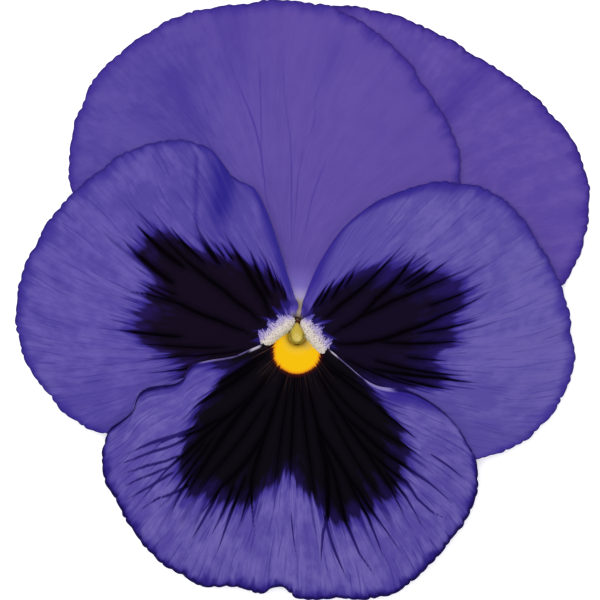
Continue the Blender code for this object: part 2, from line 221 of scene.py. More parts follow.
class Finish:
    """One material: a Principled shader and the nodes that feed it."""

    def __init__(self, name, **constants):
        self.material = bpy.data.materials.new(name)
        self.material.use_nodes = True
        self.tree = self.material.node_tree
        self.shader = self.tree.nodes["Principled BSDF"]
        for socket, value in constants.items():
            self.shader.inputs[socket.replace("_", " ")].default_value = value

    def node(self, kind, settings, inputs, output=0):
        """Adds a node: settings first, then each input's value or link; returns one output."""
        made = self.tree.nodes.new(kind)
        for setting, value in settings.items():
            setattr(made, setting, value)
        for key, value in inputs.items():
            if isinstance(value, Wire):
                self.tree.links.new(value.socket, made.inputs[key])
            else:
                made.inputs[key].default_value = value
        return Wire(self, made.outputs[output])

    def feed(self, socket, wire):
        self.tree.links.new(wire.socket, self.shader.inputs[socket])

    def field(self, name):
        """A number that the mesh stores at each of its points."""
        return self.node("ShaderNodeAttribute", {"attribute_name": name}, {}, "Fac")

    def flow(self):
        """The place on its surface that the mesh stores at each of its points, as three numbers."""
        return self.parts(self.node("ShaderNodeAttribute", {"attribute_name": "flow"}, {}, "Vector"))

    def parts(self, vector):
        return [self.node("ShaderNodeSeparateXYZ", {}, {0: vector}, i) for i in range(3)]

    def here(self):
        """Place on the flower in millimetres from the throat, from Object coordinates."""
        x, y, z = self.parts(self.node("ShaderNodeTexCoord", {}, {}, "Object"))
        return x / MM + CENTRE[0], y / MM + CENTRE[1], z / MM

    def vector(self, x, y, z=0.0):
        return self.node("ShaderNodeCombineXYZ", {}, {0: x, 1: y, 2: z})

    def noise(self, vector, detail=2.0, roughness=0.5):
        """Soft noise from 0 to 1 about once in a unit of the vector."""
        return self.node("ShaderNodeTexNoise", {}, {
            "Vector": vector, "Scale": 1.0, "Detail": detail, "Roughness": roughness})

    def mix(self, first, second, share):
        """Colour between first and second by a share from 0 to 1."""
        first, second = (tint(*colour) if isinstance(colour, tuple) and len(colour) == 3 else colour
                         for colour in (first, second))
        return self.node("ShaderNodeMix", {"data_type": "RGBA", "clamp_factor": True},
                         {0: share, 6: first, 7: second}, 2)

    def bump(self, height, depth):
        """Raises the shading by a height in units of depth metres."""
        self.feed("Normal", self.node("ShaderNodeBump", {}, {"Height": height, "Distance": depth}))


# %% [markdown]
# ## Paper on a light table
# The picture has no shadow at all. White paper on a light table does that: the little light
# that comes through it fills the soft shade that the lamps leave.

# %% Floor
paper = Finish("pale_paper", Roughness=0.9, Specular_IOR_Level=0.1, Emission_Strength=0.25)
paper.shader.inputs["Emission Color"].default_value = (1, 1, 1, 1)
here_x, here_y, _ = paper.here()
grain = paper.noise(paper.vector(here_x * 0.4, here_y * 0.4), 3.0)
paper.feed("Base Color", paper.mix((0.90, 0.90, 0.90, 1), (0.92, 0.92, 0.92, 1), grain))

HALF, HAIRSBREADTH = 3.0, 2e-5    # metres
sheet_mesh = bpy.data.meshes.new("floor")
sheet_mesh.from_pydata([(x * HALF, y * HALF, -HAIRSBREADTH) for x, y in
                        ((-1, -1), (1, -1), (1, 1), (-1, 1))], [], [(0, 1, 2, 3)])
sheet_mesh.materials.append(paper.material)
floor = bpy.data.objects.new("floor", sheet_mesh)
scene.collection.objects.link(floor)
print(f"floor {2 * HALF:.0f} m wide")

# %% [markdown]
# ## From arrays to pieces
# Two kinds of surface make the whole flower. A thin sheet is a grid of points with a front, a
# rear and a strip round the rim. A tube is a row of rings along a path, closed at both ends by
# a fan of triangles. Both stay plain arrays until piece() puts them into a mesh with the
# fields that its finish reads.

# %% Nets, sheets and tubes


def net(rows, columns, closed=False):
    """Four-sided faces of a grid whose points are numbered row after row. A closed grid joins
    its last column to its first."""
    number = np.arange(rows * columns).reshape(rows, columns)
    if closed:
        number = np.hstack([number, number[:, :1]])
    return np.stack([number[:-1, :-1], number[:-1, 1:], number[1:, 1:], number[1:, :-1]],
                    -1).reshape(-1, 4)


def sheet(middle, thickness):
    """Closed thin sheet round a grid of points: each point moves half the thickness along the
    surface's normal, forwards for the front and backwards for the rear. Returns the points,
    the four-sided faces, and 0 or 1 for front or rear."""
    normal = unit(np.cross(np.gradient(middle, axis=1), np.gradient(middle, axis=0)))
    half = np.broadcast_to(thickness, middle.shape[:2])[..., None] / 2
    points = np.concatenate([(middle + normal * half).reshape(-1, 3),
                             (middle - normal * half).reshape(-1, 3)])
    rows, columns = middle.shape[:2]
    count = rows * columns
    number = np.arange(count).reshape(rows, columns)
    front = net(rows, columns)
    rim = np.concatenate([number[0], number[1:, -1], number[-1, -2::-1], number[-2:0:-1, 0]])
    after = np.roll(rim, -1)
    edge = np.stack([rim, rim + count, after + count, after], -1)
    faces = np.concatenate([front, front[:, ::-1] + count, edge])
    return points, faces, np.repeat([0.0, 1.0], count)


def tubes(centres, across, upward, sides):
    """Closed tubes: ring points are centre + across cos a + upward sin a, for a round the ring.
    centres, across and upward have the shape (tubes, rings, 3). A fan round the first and last
    centre closes the ends. Returns points, four-sided faces and triangles."""
    angle = np.arange(sides) * 2 * np.pi / sides
    ring = (centres[:, :, None] + across[:, :, None] * np.cos(angle)[:, None]
            + upward[:, :, None] * np.sin(angle)[:, None])
    many, rings = centres.shape[:2]
    body = ring.reshape(many, rings * sides, 3)
    points = np.concatenate([body, centres[:, :1], centres[:, -1:]], axis=1)
    first, after = np.arange(sides), np.roll(np.arange(sides), -1)
    last = (rings - 1) * sides
    foot = np.stack([after, first, np.full(sides, rings * sides)], -1)
    head = np.stack([first + last, after + last, np.full(sides, rings * sides + 1)], -1)
    start = (np.arange(many) * (rings * sides + 2))[:, None, None]
    quads = (net(rings, sides, True)[None] + start).reshape(-1, 4)
    fans = (np.concatenate([foot, head])[None] + start).reshape(-1, 3)
    return points.reshape(-1, 3), quads, fans


# %% Pieces


def piece(name, points, faces, finish, fields=None, replaces=()):
    """Puts points and faces into an object at the origin, with its fields, finish and body."""
    mesh = bpy.data.meshes.new(name)
    corners = np.concatenate([group.ravel() for group in faces])
    sizes = np.concatenate([np.full(len(group), group.shape[1]) for group in faces])
    mesh.vertices.add(len(points))
    mesh.vertices.foreach_set("co", to_frame(points).ravel())
    mesh.loops.add(len(corners))
    mesh.loops.foreach_set("vertex_index", corners)
    mesh.polygons.add(len(sizes))
    mesh.polygons.foreach_set("loop_start", np.concatenate([[0], np.cumsum(sizes)[:-1]]))
    mesh.update(calc_edges=True)
    mesh.polygons.foreach_set("use_smooth", np.ones(len(sizes), bool))
    for field, values in (fields or {}).items():
        kind, slot_name = ("FLOAT", "value") if values.ndim == 1 else ("FLOAT_VECTOR", "vector")
        attribute = mesh.attributes.new(field, kind, "POINT")
        attribute.data.foreach_set(slot_name, np.ascontiguousarray(values, float).ravel())
    mesh.materials.append(finish.material)
    made = bpy.data.objects.new(name, mesh)
    scene.collection.objects.link(made)
    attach(made, "root")
    for node in replaces:
        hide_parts(node)
    triangles = int((sizes - 2).sum())
    low, high = to_frame(points).min(0) / MM, to_frame(points).max(0) / MM
    print(f"{name}: {triangles} triangles, {np.round(high - low, 1)} mm")


# %% [markdown]
# ## How a petal is laid out
# The veins of a pansy petal leave the narrow claw and fan out to the margin. A grid that
# follows them makes everything after it simple, because a streak is then a straight line. The
# grid is a patch between four edges: the claw, the free margin, and the two sides that join
# them. s runs along the margin from 0 to 1, and v from the claw to the margin. The margins
# were traced, a point only where the outline turns.

# %% Petal outlines
# claw: bearings of its two ends; cut: which points of the outline are the margin's ends;
# fan: the petal's own bearing, and how strongly its veins bow away from it; side: how far the
# shape of the two sides reaches into the petal
PETALS = {
    "petal_upper_left": dict(
        height=10.1, claw=(122, 74), cut=(4, 19), fan=(105, 0.43), side=1.0, margin=[
            (-1.7, 4.4), (-4.5, 6.5), (-9.0, 9.1), (-19.1, 12.1), (-26.0, 15.1), (-29.3, 19.2),
            (-29.6, 23.8), (-28.8, 28.7), (-25.9, 34.5), (-22.0, 38.2), (-18.1, 40.7),
            (-13.1, 42.8), (-7.9, 43.4), (-1.4, 44.1), (6.2, 42.4), (12.4, 38.1), (17.6, 31.3),
            (20.8, 25.0), (21.1, 19.5), (17.3, 14.7), (10.1, 10.1), (4.0, 6.5), (0.9, 4.4)]),
    "petal_upper_right": dict(
        height=8.92, claw=(70, 34), cut=(4, 17), fan=(75, 0.43), side=1.0, margin=[
            (0.6, 4.7), (-0.5, 8.8), (-1.7, 14.0), (-2.7, 21.8), (-2.5, 32.2), (-0.1, 40.0),
            (4.3, 43.3), (9.2, 42.9), (13.4, 42.0), (19.9, 38.9), (26.8, 34.7), (32.5, 30.2),
            (36.5, 24.8), (38.2, 19.0), (37.7, 14.3), (36.3, 9.4), (33.1, 5.5), (27.7, 2.6),
            (19.9, 0.5), (9.5, 0.3), (4.0, 1.7), (2.2, 2.7)]),
    "petal_side_left": dict(
        height=11.3, claw=(210, 102), cut=(3, 16), fan=(200, 0.33), side=1.0, margin=[
            (-3.8, -1.8), (-7.7, -4.8), (-12.6, -8.2), (-18.9, -11.4), (-24.4, -12.4),
            (-29.3, -10.5), (-33.4, -5.9), (-36.0, -1.2), (-36.5, 3.9), (-35.5, 9.0), (-33.4, 13.3),
            (-29.8, 18.1), (-23.9, 23.0), (-17.8, 25.6), (-11.6, 24.7), (-8.6, 21.1), (-5.6, 19.4),
            (-4.1, 16.8), (-3.0, 13.9), (-2.2, 11.4), (-1.5, 9.1), (-0.9, 7.2), (-0.45, 5.8),
            (-0.2, 5.1), (0.14, 4.6), (0.2, 4.1), (0.0, 3.6)]),
    "petal_side_right": dict(
        height=11.3, claw=(66, -30), cut=(6, 16), fan=(-20, 0.20), side=1.0, margin=[
            (0.56, 3.5), (0.64, 4.16), (0.78, 4.8), (1.04, 5.46), (1.6, 6.9), (3.0, 9.9),
            (6.3, 14.5), (11.4, 18.2), (18.6, 20.2), (25.5, 18.9), (30.3, 14.0), (34.2, 6.9),
            (35.5, 2.3), (36.0, -3.1), (33.7, -9.2), (29.5, -13.3), (23.3, -15.7), (17.3, -14.6),
            (11.4, -11.6), (6.9, -7.5), (3.6, -2.6)]),
    "petal_lower": dict(
        height=12.8, claw=(20, -200), cut=(7, 24), fan=(270, 0.10), side=3.0, margin=[
            (1.0, 0.75), (1.9, 0.2), (3.2, -0.8), (4.6, -1.8), (6.2, -3.2), (9.9, -6.0),
            (14.7, -6.9), (19.5, -10.1), (23.0, -15.6), (23.4, -19.8), (21.4, -24.5), (18.9, -27.3),
            (17.1, -29.7), (12.2, -33.3), (5.6, -33.9), (0.5, -33.8), (-1.6, -32.5), (-2.9, -32.4),
            (-4.6, -33.1), (-8.4, -32.3), (-12.3, -32.1), (-18.2, -28.7), (-22.0, -23.7),
            (-25.1, -17.4), (-24.4, -12.1), (-22.6, -10.6), (-21.2, -9.4), (-20.8, -8.1),
            (-20.2, -7.0), (-19.2, -6.4), (-17.4, -6.1), (-15.5, -5.8), (-14.5, -5.1),
            (-14.2, -4.2), (-13.4, -3.4), (-11.6, -2.9), (-8.1, -2.3), (-6.2, -1.5), (-4.6, -0.8),
            (-3.2, -0.2), (-1.9, 0.4), (-1.0, 0.75)]),
}
CLAW_RADIUS, CLAW_FLOOR, CLAW_FALLOFF = 1.3, 7.9, 0.4
MOUTH, MOUTH_RADIUS = (0.0, -0.35), 0.5
LAP, LAP_RADIUS, LAP_DEPTH, LAP_FALLOFF = (0.0, 0.2), 1.05, 1.3, 0.35   # under the stigma
print("points of the outlines:", sum(len(petal["margin"]) for petal in PETALS.values()))


def smooth_curve(points):
    """Catmull-Rom curve with centripetal knots: between two points it blends three straight
    runs, then two blends of those, then one, each weighted by the way gone between its knots,
    which stand the square root of the distance apart. Returns the curve, its parameter and
    the knots."""
    p = np.vstack([2 * points[0] - points[1], points, 2 * points[-1] - points[-2]])
    knot = np.concatenate([[0], np.cumsum(np.sqrt(np.linalg.norm(np.diff(p, axis=0), axis=1)))])
    t = np.linspace(knot[1], knot[-2], 6000)
    i = np.clip(np.searchsorted(knot, t, side="right") - 1, 1, len(p) - 3)

    def blend(left, right, a, b):
        share = ((t - knot[a]) / (knot[b] - knot[a]))[:, None]
        return left * (1 - share) + right * share

    a1, a2, a3 = (blend(p[i + k - 1], p[i + k], i + k - 1, i + k) for k in range(3))
    b1, b2 = blend(a1, a2, i - 1, i + 1), blend(a2, a3, i, i + 2)
    return blend(b1, b2, i, i + 1), t, knot


def by_length(curve, share):
    """Points of a curve at shares of its length."""
    run = walked(curve)
    return np.column_stack([np.interp(share * run[-1], run, curve[:, k]) for k in range(2)])


def arc(centre, radius, bearings):
    """Points of a circle at bearings in degrees."""
    a = np.radians(bearings)
    return np.column_stack([centre[0] + radius * np.cos(a), centre[1] + radius * np.sin(a)])


# %% Petal plan
TOOTH, SOFT_ENDS, FREE_ENDS = 1.5, 0.03, 0.08    # mm; shares of the margin


def calm(bow, v):
    """A side's bow without its small curls: the nearest v (1 - v) (a + b v + c v^2)."""
    shapes = (v * (1 - v))[:, None] * np.column_stack([v ** 0, v, v ** 2])
    return shapes @ np.linalg.lstsq(shapes, bow, rcond=None)[0]


def margin_teeth(length, seed):
    """Depth in mm of the margin's fine teeth: rounded scallops 1.5 mm long with sharp notches,
    uneven in length and depth, on slower waves."""
    place = length + 0.5 * ripple(length, (4.1, 7.3, 2.6), seed)
    tooth = np.abs(np.sin(np.pi * place / TOOTH)) ** 0.8 - 0.6
    uneven = 0.55 + 0.45 * ripple(length, (5.3, 9.1, 3.2), seed + 1)
    return 0.3 * tooth * uneven + 0.2 * ripple(length, (6.7, 11.3, 4.4), seed + 2)


def petal_plan(name, s, v, seed):
    """Plan of a petal at every s and v: a patch. It is the straight way from the claw to the
    margin, (1 - v) claw + v margin, plus the bow of each side, faded across by (1 - s) and s to
    a power, 16 for its small curls, plus v (1 - v) times the turn of the way by -pull sin 2d,
    where d is the way's bearing from the petal's own. The margin's teeth fade as v to the 14th,
    and where the veins run along the margin.
    """
    petal = PETALS[name]
    lower = name == "petal_lower"
    centre, radius = (MOUTH, MOUTH_RADIUS) if lower else (AXIS, CLAW_RADIUS)
    ends = arc(centre, radius, petal["claw"])
    curve, t, knot = smooth_curve(np.vstack([ends[:1], petal["margin"], ends[1:]]))
    first, last = np.searchsorted(t, knot[[petal["cut"][0] + 2, petal["cut"][1] + 2]])
    top = by_length(curve[first:last + 1], s)
    left, right = by_length(curve[:first + 1], v), by_length(curve[last:][::-1], v)
    first_bearing, last_bearing = petal["claw"]
    spread = {"petal_side_left": 1 - (1 - s) ** 0.5, "petal_side_right": s ** 0.5}.get(name, s)
    base = arc(centre, radius, first_bearing + (last_bearing - first_bearing) * spread)

    across, along = s[None, :, None], v[:, None, None]
    bow_left, bow_right = (way - (way[0] + (way[-1] - way[0]) * v[:, None])
                           for way in (left, right))
    calm_left, calm_right = calm(bow_left, v), calm(bow_right, v)
    plan = (base * (1 - along) + top * along + (1 - across) ** petal["side"] * calm_left[:, None]
            + across ** petal["side"] * calm_right[:, None]
            + (1 - across) ** 16 * (bow_left - calm_left)[:, None]
            + across ** 16 * (bow_right - calm_right)[:, None])

    way = top - base
    own, pull = np.radians(petal["fan"][0]), petal["fan"][1]
    apart = (np.arctan2(way[:, 1], way[:, 0]) - own + np.pi) % (2 * np.pi) - np.pi
    free = np.clip(np.minimum(s, 1 - s) / FREE_ENDS, 0, 1)
    turn = -pull * np.sin(2 * np.clip(apart, -np.pi / 2, np.pi / 2)) * free
    swung = np.column_stack([np.cos(turn) * way[:, 0] - np.sin(turn) * way[:, 1],
                             np.sin(turn) * way[:, 0] + np.cos(turn) * way[:, 1]])
    plan = plan + along * (1 - along) * (swung - way)

    length = walked(top)
    teeth = margin_teeth(length, seed) * np.clip(np.minimum(s, 1 - s) / SOFT_ENDS, 0, 1)
    heading = unit(np.gradient(top, axis=0))
    outward = np.column_stack([-heading[:, 1], heading[:, 0]])
    teeth = teeth * rise(np.abs((unit(way) * outward).sum(1)), 0.3, 0.8)
    plan = plan + along ** 14 * (teeth[:, None] * outward)
    return plan, length


# %% [markdown]
# ## How a petal stands
# In the solids the five petals share one low dome with broad waves, so they lie on each other
# like tiles. The skins follow the same formula. On it come the forms that a solid is too
# coarse for: the veins sink into the face, the margin ruffles, and the left side petal has a
# fold that runs in from its notch.

# %% Petal heights
# depth of a petal's droop, the distances from the throat and the bearings over which it sets in
DROOP = {
    "petal_upper_left": (1.37, (24, 43), (96, 124)),
    "petal_upper_right": (0.0, (24, 43), (0, 1)),
    "petal_side_left": (1.4, (20, 36), (165, 200)),
    "petal_side_right": (1.4, (20, 36), (375, 340)),
    "petal_lower": (1.6, (20, 36), (200, 225)),
}


def blade_height(name, x, y):
    """Height over the table: the petal's height at the throat, less 7.4 (r / 42)^1.6, plus 0.34
    times sin(5a + 0.6) + 0.6 sin(9a + 2.1 + 0.05 r) from r = 6 to 34 on, less the droop, less
    the depth of the claw or of the lap, which fades as exp(-distance / falloff)."""
    r, a = np.hypot(x, y), np.arctan2(y, x)
    bearing = np.degrees(a) % 360
    height = PETALS[name]["height"]
    wave = np.sin(5 * a + 0.6) + 0.6 * np.sin(9 * a + 2.1 + 0.05 * r)
    z = height - 7.4 * (r / 42) ** 1.6 + 0.34 * wave * rise(r, 6, 34)
    if name == "petal_side_right":
        bearing = np.where(bearing < 180, bearing + 360, bearing)
    depth, distances, bearings = DROOP[name]
    z = z - depth * rise(r, *distances) * rise(bearing, *bearings)
    if name == "petal_lower":
        lap = np.maximum(np.hypot(x - LAP[0], y - LAP[1]) - LAP_RADIUS, 0)
        return z - LAP_DEPTH * np.exp(-lap / LAP_FALLOFF)
    claw = np.maximum(np.hypot(x - AXIS[0], y - AXIS[1]) - CLAW_RADIUS, 0)
    return z - (height - CLAW_FLOOR) * np.exp(-claw / CLAW_FALLOFF)


# %% [markdown]
# ## The face of the flower
# The dark face has three parts. A body of deep pigment ends in a soft, uneven border. Black
# veins run through it and shoot out beyond it as spikes. Fainter blue veins go on further.
# A row below gives s and v by turns along a border, or along a vein from its start to its tip,
# all in thousandths. They were read from the flower.

# %% Borders and veins
BODY = {
    "petal_side_left": (
        0, 350,  130, 440,  170, 475,  210, 480,  235, 450,  280, 460,  310, 475,  340, 525,
        370, 565,  400, 585,  430, 575,  470, 575,  500, 555,  530, 585,  560, 565,  585, 585,
        600, 665,  630, 680,  650, 705,  680, 705,  700, 645,  712, 575,  725, 490,  750, 490,
        770, 420,  790, 400,  810, 400,  830, 340,  860, 290,  890, 280,  920, 260,  945, 200,
        965, 80,  1000, 0),
    "petal_side_right": (
        0, -50,  80, 0,  100, 180,  120, 250,  150, 280,  180, 340,  210, 390,  240, 490,  270, 505,
        300, 525,  330, 550,  360, 600,  390, 650,  420, 680,  450, 690,  480, 690,  500, 690,
        515, 640,  540, 620,  600, 620,  620, 590,  650, 540,  690, 530,  720, 570,  735, 620,
        750, 570,  770, 570,  785, 510,  800, 480,  840, 430,  1000, 300),
    "petal_lower": (
        0, 440,  31, 500,  62, 520,  82, 520,  103, 570,  118, 620,  134, 590,  149, 650,  165, 670,
        180, 650,  196, 670,  227, 680,  242, 710,  257, 720,  273, 710,  288, 680,  304, 660,
        319, 690,  335, 700,  350, 680,  371, 670,  386, 690,  402, 710,  422, 690,  438, 670,
        448, 635,  458, 620,  474, 600,  489, 580,  504, 550,  525, 530,  556, 530,  571, 560,
        587, 580,  602, 600,  618, 635,  633, 670,  659, 675,  700, 680,  721, 675,  736, 710,
        752, 675,  767, 710,  782, 750,  798, 720,  813, 690,  834, 690,  849, 665,  865, 610,
        885, 540,  906, 480,  916, 440,  932, 395,  942, 340,  953, 310,  965, 345,  975, 370,
        985, 375,  1000, 370),
}
BASE = {
    "petal_side_left": (
        0, 120,  200, 110,  274, 120,  300, 145,  340, 110,  390, 70,  430, 75,  460, 128,  500, 75,
        560, 50,  600, 55,  630, 107,  660, 60,  700, 45,  740, 55,  768, 103,  790, 60,  830, 60,
        858, 108,  885, 85,  920, 100,  951, 138,  1000, 140),
    "petal_side_right": (
        0, 185,  20, 130,  50, 100,  80, 70,  124, 85,  150, 50,  250, 40,  307, 60,  340, 45,
        370, 70,  400, 115,  430, 60,  458, 40,  520, 50,  580, 60,  620, 80,  660, 120,  690, 75,
        710, 65,  760, 90,  796, 135,  830, 100,  900, 120,  1000, 110),
}
# half width at the start in thousandths of a mm, then the way of the vein
VEINS = {
    "petal_upper_left": [
        (200,  390, 300,  403, 352,  432, 405,  454, 497,  455, 588,  445, 672,  434, 763,
         430, 870),
        (120,  455, 500,  470, 557,  485, 652,  490, 755,  490, 850),
        (130,  655, 200,  636, 278,  603, 460,  583, 560,  559, 652,  545, 753,  540, 850),
        (170,  262, 540,  279, 613,  284, 693,  288, 782,  290, 850),
        (120,  275, 560,  302, 620,  330, 680,  345, 770),
        (100,  750, 280,  725, 400,  718, 492,  715, 600),
        (100,  665, 250,  660, 325,  640, 435,  635, 550),
        (100,  645, 600,  642, 660,  628, 715,  625, 800)],
    "petal_side_left": [
        (220,  200, 200,  250, 300,  290, 420,  285, 600),
        (260,  190, 400,  215, 500,  230, 600),
        (200,  150, 400,  160, 490,  170, 550),
        (200,  300, 250,  340, 380,  355, 480,  355, 580),
        (300,  400, 400,  400, 500,  395, 660),
        (260,  360, 140,  460, 170,  520, 280,  545, 450,  530, 580,  505, 670),
        (160,  550, 450,  550, 550,  552, 630),
        (140,  570, 470,  565, 580),
        (360,  600, 500,  607, 620,  613, 750),
        (240,  580, 120,  640, 180,  675, 320,  680, 500,  685, 650,  690, 730),
        (340,  660, 500,  658, 650,  660, 760),
        (220,  710, 450,  710, 580,  714, 670),
        (300,  740, 400,  750, 500,  767, 620),
        (140,  765, 400,  775, 500),
        (140,  783, 380,  790, 490),
        (280,  700, 100,  770, 170,  803, 330,  810, 440,  814, 520),
        (240,  800, 150,  830, 270,  845, 350,  858, 420),
        (220,  860, 180,  885, 290,  900, 360,  915, 410),
        (180,  900, 170,  920, 280,  935, 360,  945, 420),
        (160,  930, 130,  945, 220,  955, 300)],
    "petal_side_right": [
        (200,  120, 120,  115, 250,  110, 340),
        (260,  170, 140,  150, 240,  140, 300,  130, 360),
        (240,  220, 200,  190, 300,  170, 420),
        (200,  220, 300,  205, 370,  185, 440),
        (260,  340, 100,  300, 200,  285, 350,  268, 500,  255, 660),
        (300,  430, 250,  370, 360,  340, 480,  315, 580,  298, 660),
        (180,  360, 480,  355, 580,  348, 660),
        (160,  375, 500,  368, 620),
        (220,  385, 500,  380, 600,  375, 700),
        (260,  600, 110,  500, 160,  430, 260,  405, 420,  410, 600,  421, 770),
        (200,  470, 550,  473, 740),
        (300,  720, 130,  660, 200,  600, 300,  550, 420,  515, 580,  498, 770),
        (200,  560, 480,  558, 600,  556, 710),
        (240,  605, 300,  605, 450,  605, 600,  620, 670),
        (160,  670, 420,  670, 580),
        (240,  735, 300,  722, 480,  716, 670),
        (300,  800, 300,  755, 420,  735, 550,  737, 700),
        (240,  790, 380,  775, 500,  768, 630),
        (200,  840, 200,  810, 360,  790, 500,  790, 560)],
    "petal_lower": [
        (180,  144, 130,  82, 300,  51, 420,  31, 530),
        (300,  175, 150,  124, 250,  98, 380,  85, 500,  80, 580),
        (300,  93, 450,  103, 560,  120, 680),
        (200,  227, 150,  185, 380,  160, 520,  149, 620,  154, 770),
        (300,  247, 300,  211, 450,  191, 660,  186, 780,  186, 920),
        (260,  235, 500,  217, 710,  226, 790,  224, 870,  210, 950),
        (200,  236, 620,  241, 755,  254, 880),
        (160,  134, 740,  136, 840,  140, 940),
        (300,  257, 160,  247, 370,  242, 520,  252, 660,  273, 820),
        (160,  299, 300,  288, 600,  290, 740),
        (300,  396, 150,  394, 320,  355, 430,  329, 600,  319, 780,  314, 900),
        (240,  345, 520,  339, 700,  350, 880),
        (300,  396, 300,  381, 500,  394, 680,  389, 830,  370, 960),
        (240,  444, 660,  440, 770,  435, 840,  425, 940),
        (140,  530, 680,  524, 770,  511, 870),
        (420,  396, 300,  402, 480,  432, 660,  456, 750,  469, 860),
        (220,  474, 120,  463, 300,  458, 480,  463, 620),
        (260,  535, 120,  535, 350,  535, 600),
        (160,  597, 140,  587, 400,  582, 630),
        (340,  659, 140,  659, 420,  654, 560,  632, 670,  607, 800),
        (180,  649, 600,  646, 750),
        (240,  674, 550,  675, 700,  674, 880),
        (200,  695, 600,  692, 720,  696, 820),
        (340,  659, 350,  695, 530,  721, 630,  733, 760),
        (240,  721, 650,  724, 760,  727, 880),
        (180,  721, 260,  736, 420,  757, 600,  762, 720),
        (360,  798, 170,  793, 420,  788, 600,  779, 800),
        (180,  798, 620,  793, 760,  782, 870),
        (200,  813, 500,  805, 700,  804, 840),
        (180,  824, 550,  824, 700,  824, 800),
        (260,  803, 250,  824, 420,  839, 600,  846, 760,  846, 900),
        (240,  824, 400,  860, 560,  887, 650,  897, 750),
        (340,  906, 200,  906, 380,  910, 530),
        (300,  927, 150,  929, 320,  927, 420),
        (240,  868, 530,  878, 590,  896, 690,  912, 792,  927, 880),
        (200,  865, 600,  874, 677,  894, 777,  924, 930),
        (200,  845, 660,  860, 735,  883, 825,  906, 930),
        (180,  840, 700,  855, 780,  874, 865,  889, 960),
        (200,  830, 720,  843, 802,  856, 885,  868, 960),
        (200,  785, 700,  801, 768,  825, 853,  836, 930)],
}
# depth of the fold's shade, half width at its start and at its end, then its way
FOLDS = {
    "petal_upper_left": [
        (400,  1700,  3200,  275, 580,  285, 690,  300, 760,  310, 840),
        (300,  1200,  2400,  262, 600,  235, 700,  220, 800),
        (250,  1400,  2600,  445, 700,  451, 830,  451, 970),
        (250,  1200,  1800,  628, 740,  629, 820,  630, 880)],
    # The upper right petal's fold is the painted shadow that the upper left petal's edge casts on
    # it, over a shallow valley.
    "petal_upper_right": [
        (500,  1300,  2200,  480, 700,  474, 780,  463, 880,  459, 1000)],
    "petal_side_left": [
        (1000,  1200,  2700,  790, 490,  832, 620,  850, 680,  870, 750,  890, 840,  908, 930,
         918, 1000),
        (600,  300,  450,  745, 500,  751, 565,  792, 682,  821, 795,  846, 910)],
}
print("veins drawn:", sum(len(rows) for rows in VEINS.values()))

# %% Vein, fold and relief


NO_BORDER = (0, -200, 1000, -200)


def way_of(row):
    """The s and the v of a row of thousandths."""
    return np.reshape(row, (-1, 2)).T / 1000


def line_field(lines, s, v, width, length):
    """Signed distance in mm to the nearest of some veins, positive inside: half width times
    2.2 t^0.45 (1 - t)^0.8, t being the way from start to tip, less the way across
    |s - s(v)| width; past the tip it falls with the way along."""
    best = np.full(np.broadcast(s, v).shape, -9.0)
    for half, *way in lines:
        ss, vs = way_of(way)
        t = np.clip((v - vs[0]) / (vs[-1] - vs[0]), 0, 1)
        room = half / 1000 * 2.2 * t ** 0.45 * (1 - t) ** 0.8
        beyond = (np.maximum(v - vs[-1], 0) + np.maximum(vs[0] - v, 0)) * length
        best = np.maximum(best, room - np.abs(s - np.interp(v, vs, ss)) * width - beyond)
    return best


def fold_field(name, s, v, width):
    """Folds of a petal: depth times exp(-(way across / half width)^2), fading in over the first
    third of its way and out beyond its ends."""
    total = np.zeros(np.broadcast(s, v).shape)
    for row in FOLDS.get(name, []):
        depth, first, last = np.array(row[:3]) / 1000
        ss, vs = way_of(row[3:])
        share = np.clip((v - vs[0]) / (vs[-1] - vs[0]), 0, 1)
        across = np.abs(s - np.interp(v, vs, ss)) * width
        ridge = np.exp(-(across / (first + (last - first) * share)) ** 2)
        fading = 1 - rise(np.maximum(vs[0] - v, v - vs[-1]), 0, 0.1)
        total = np.maximum(total, depth * ridge * (0.35 + 0.65 * rise(share, 0, 0.35)) * fading)
    return total


def petal_relief(name, s, v, length, fields, seed):
    """Height added to the dome: grooves over the veins, 0.07 mm deep; puckers that grow
    outwards as v squared; a ruffled margin as v to the 7th; the valley of the fold; and on the
    lower petal the two sides rolled up as exp(-side / 0.5)."""
    pucker = ripple(length[None, :], (2.3, 3.7, 5.9, 8.3), seed + 5) * 0.13 * v ** 2
    ruffle = ripple(length[None, :] + 3 * v, (5.2, 8.7, 13.1), seed + 6) * 0.4 * v ** 7
    groove = np.exp(-np.maximum(-fields["vein"], 0) / 0.25) * rise(v, 0.14, 0.3)
    height = pucker + ruffle - 0.07 * groove - 0.35 * fields["fold"]
    if name == "petal_lower":
        height = height + 0.35 * np.exp(-fields["side"] / 0.5) * rise(v, 0.1, 0.25)
    return height


# %% Petal skins
COLUMNS = {"petal_upper_left": 320, "petal_upper_right": 320}
ROWS = np.unique(np.concatenate([np.linspace(0, 0.07, 12), np.linspace(0.07, 0.95, 50),
                                 np.linspace(0.95, 1, 8), [0.998]]))
SKIN, FLOOR_GAP = 0.24, 0.02      # mm; the skin is thinner at the margin


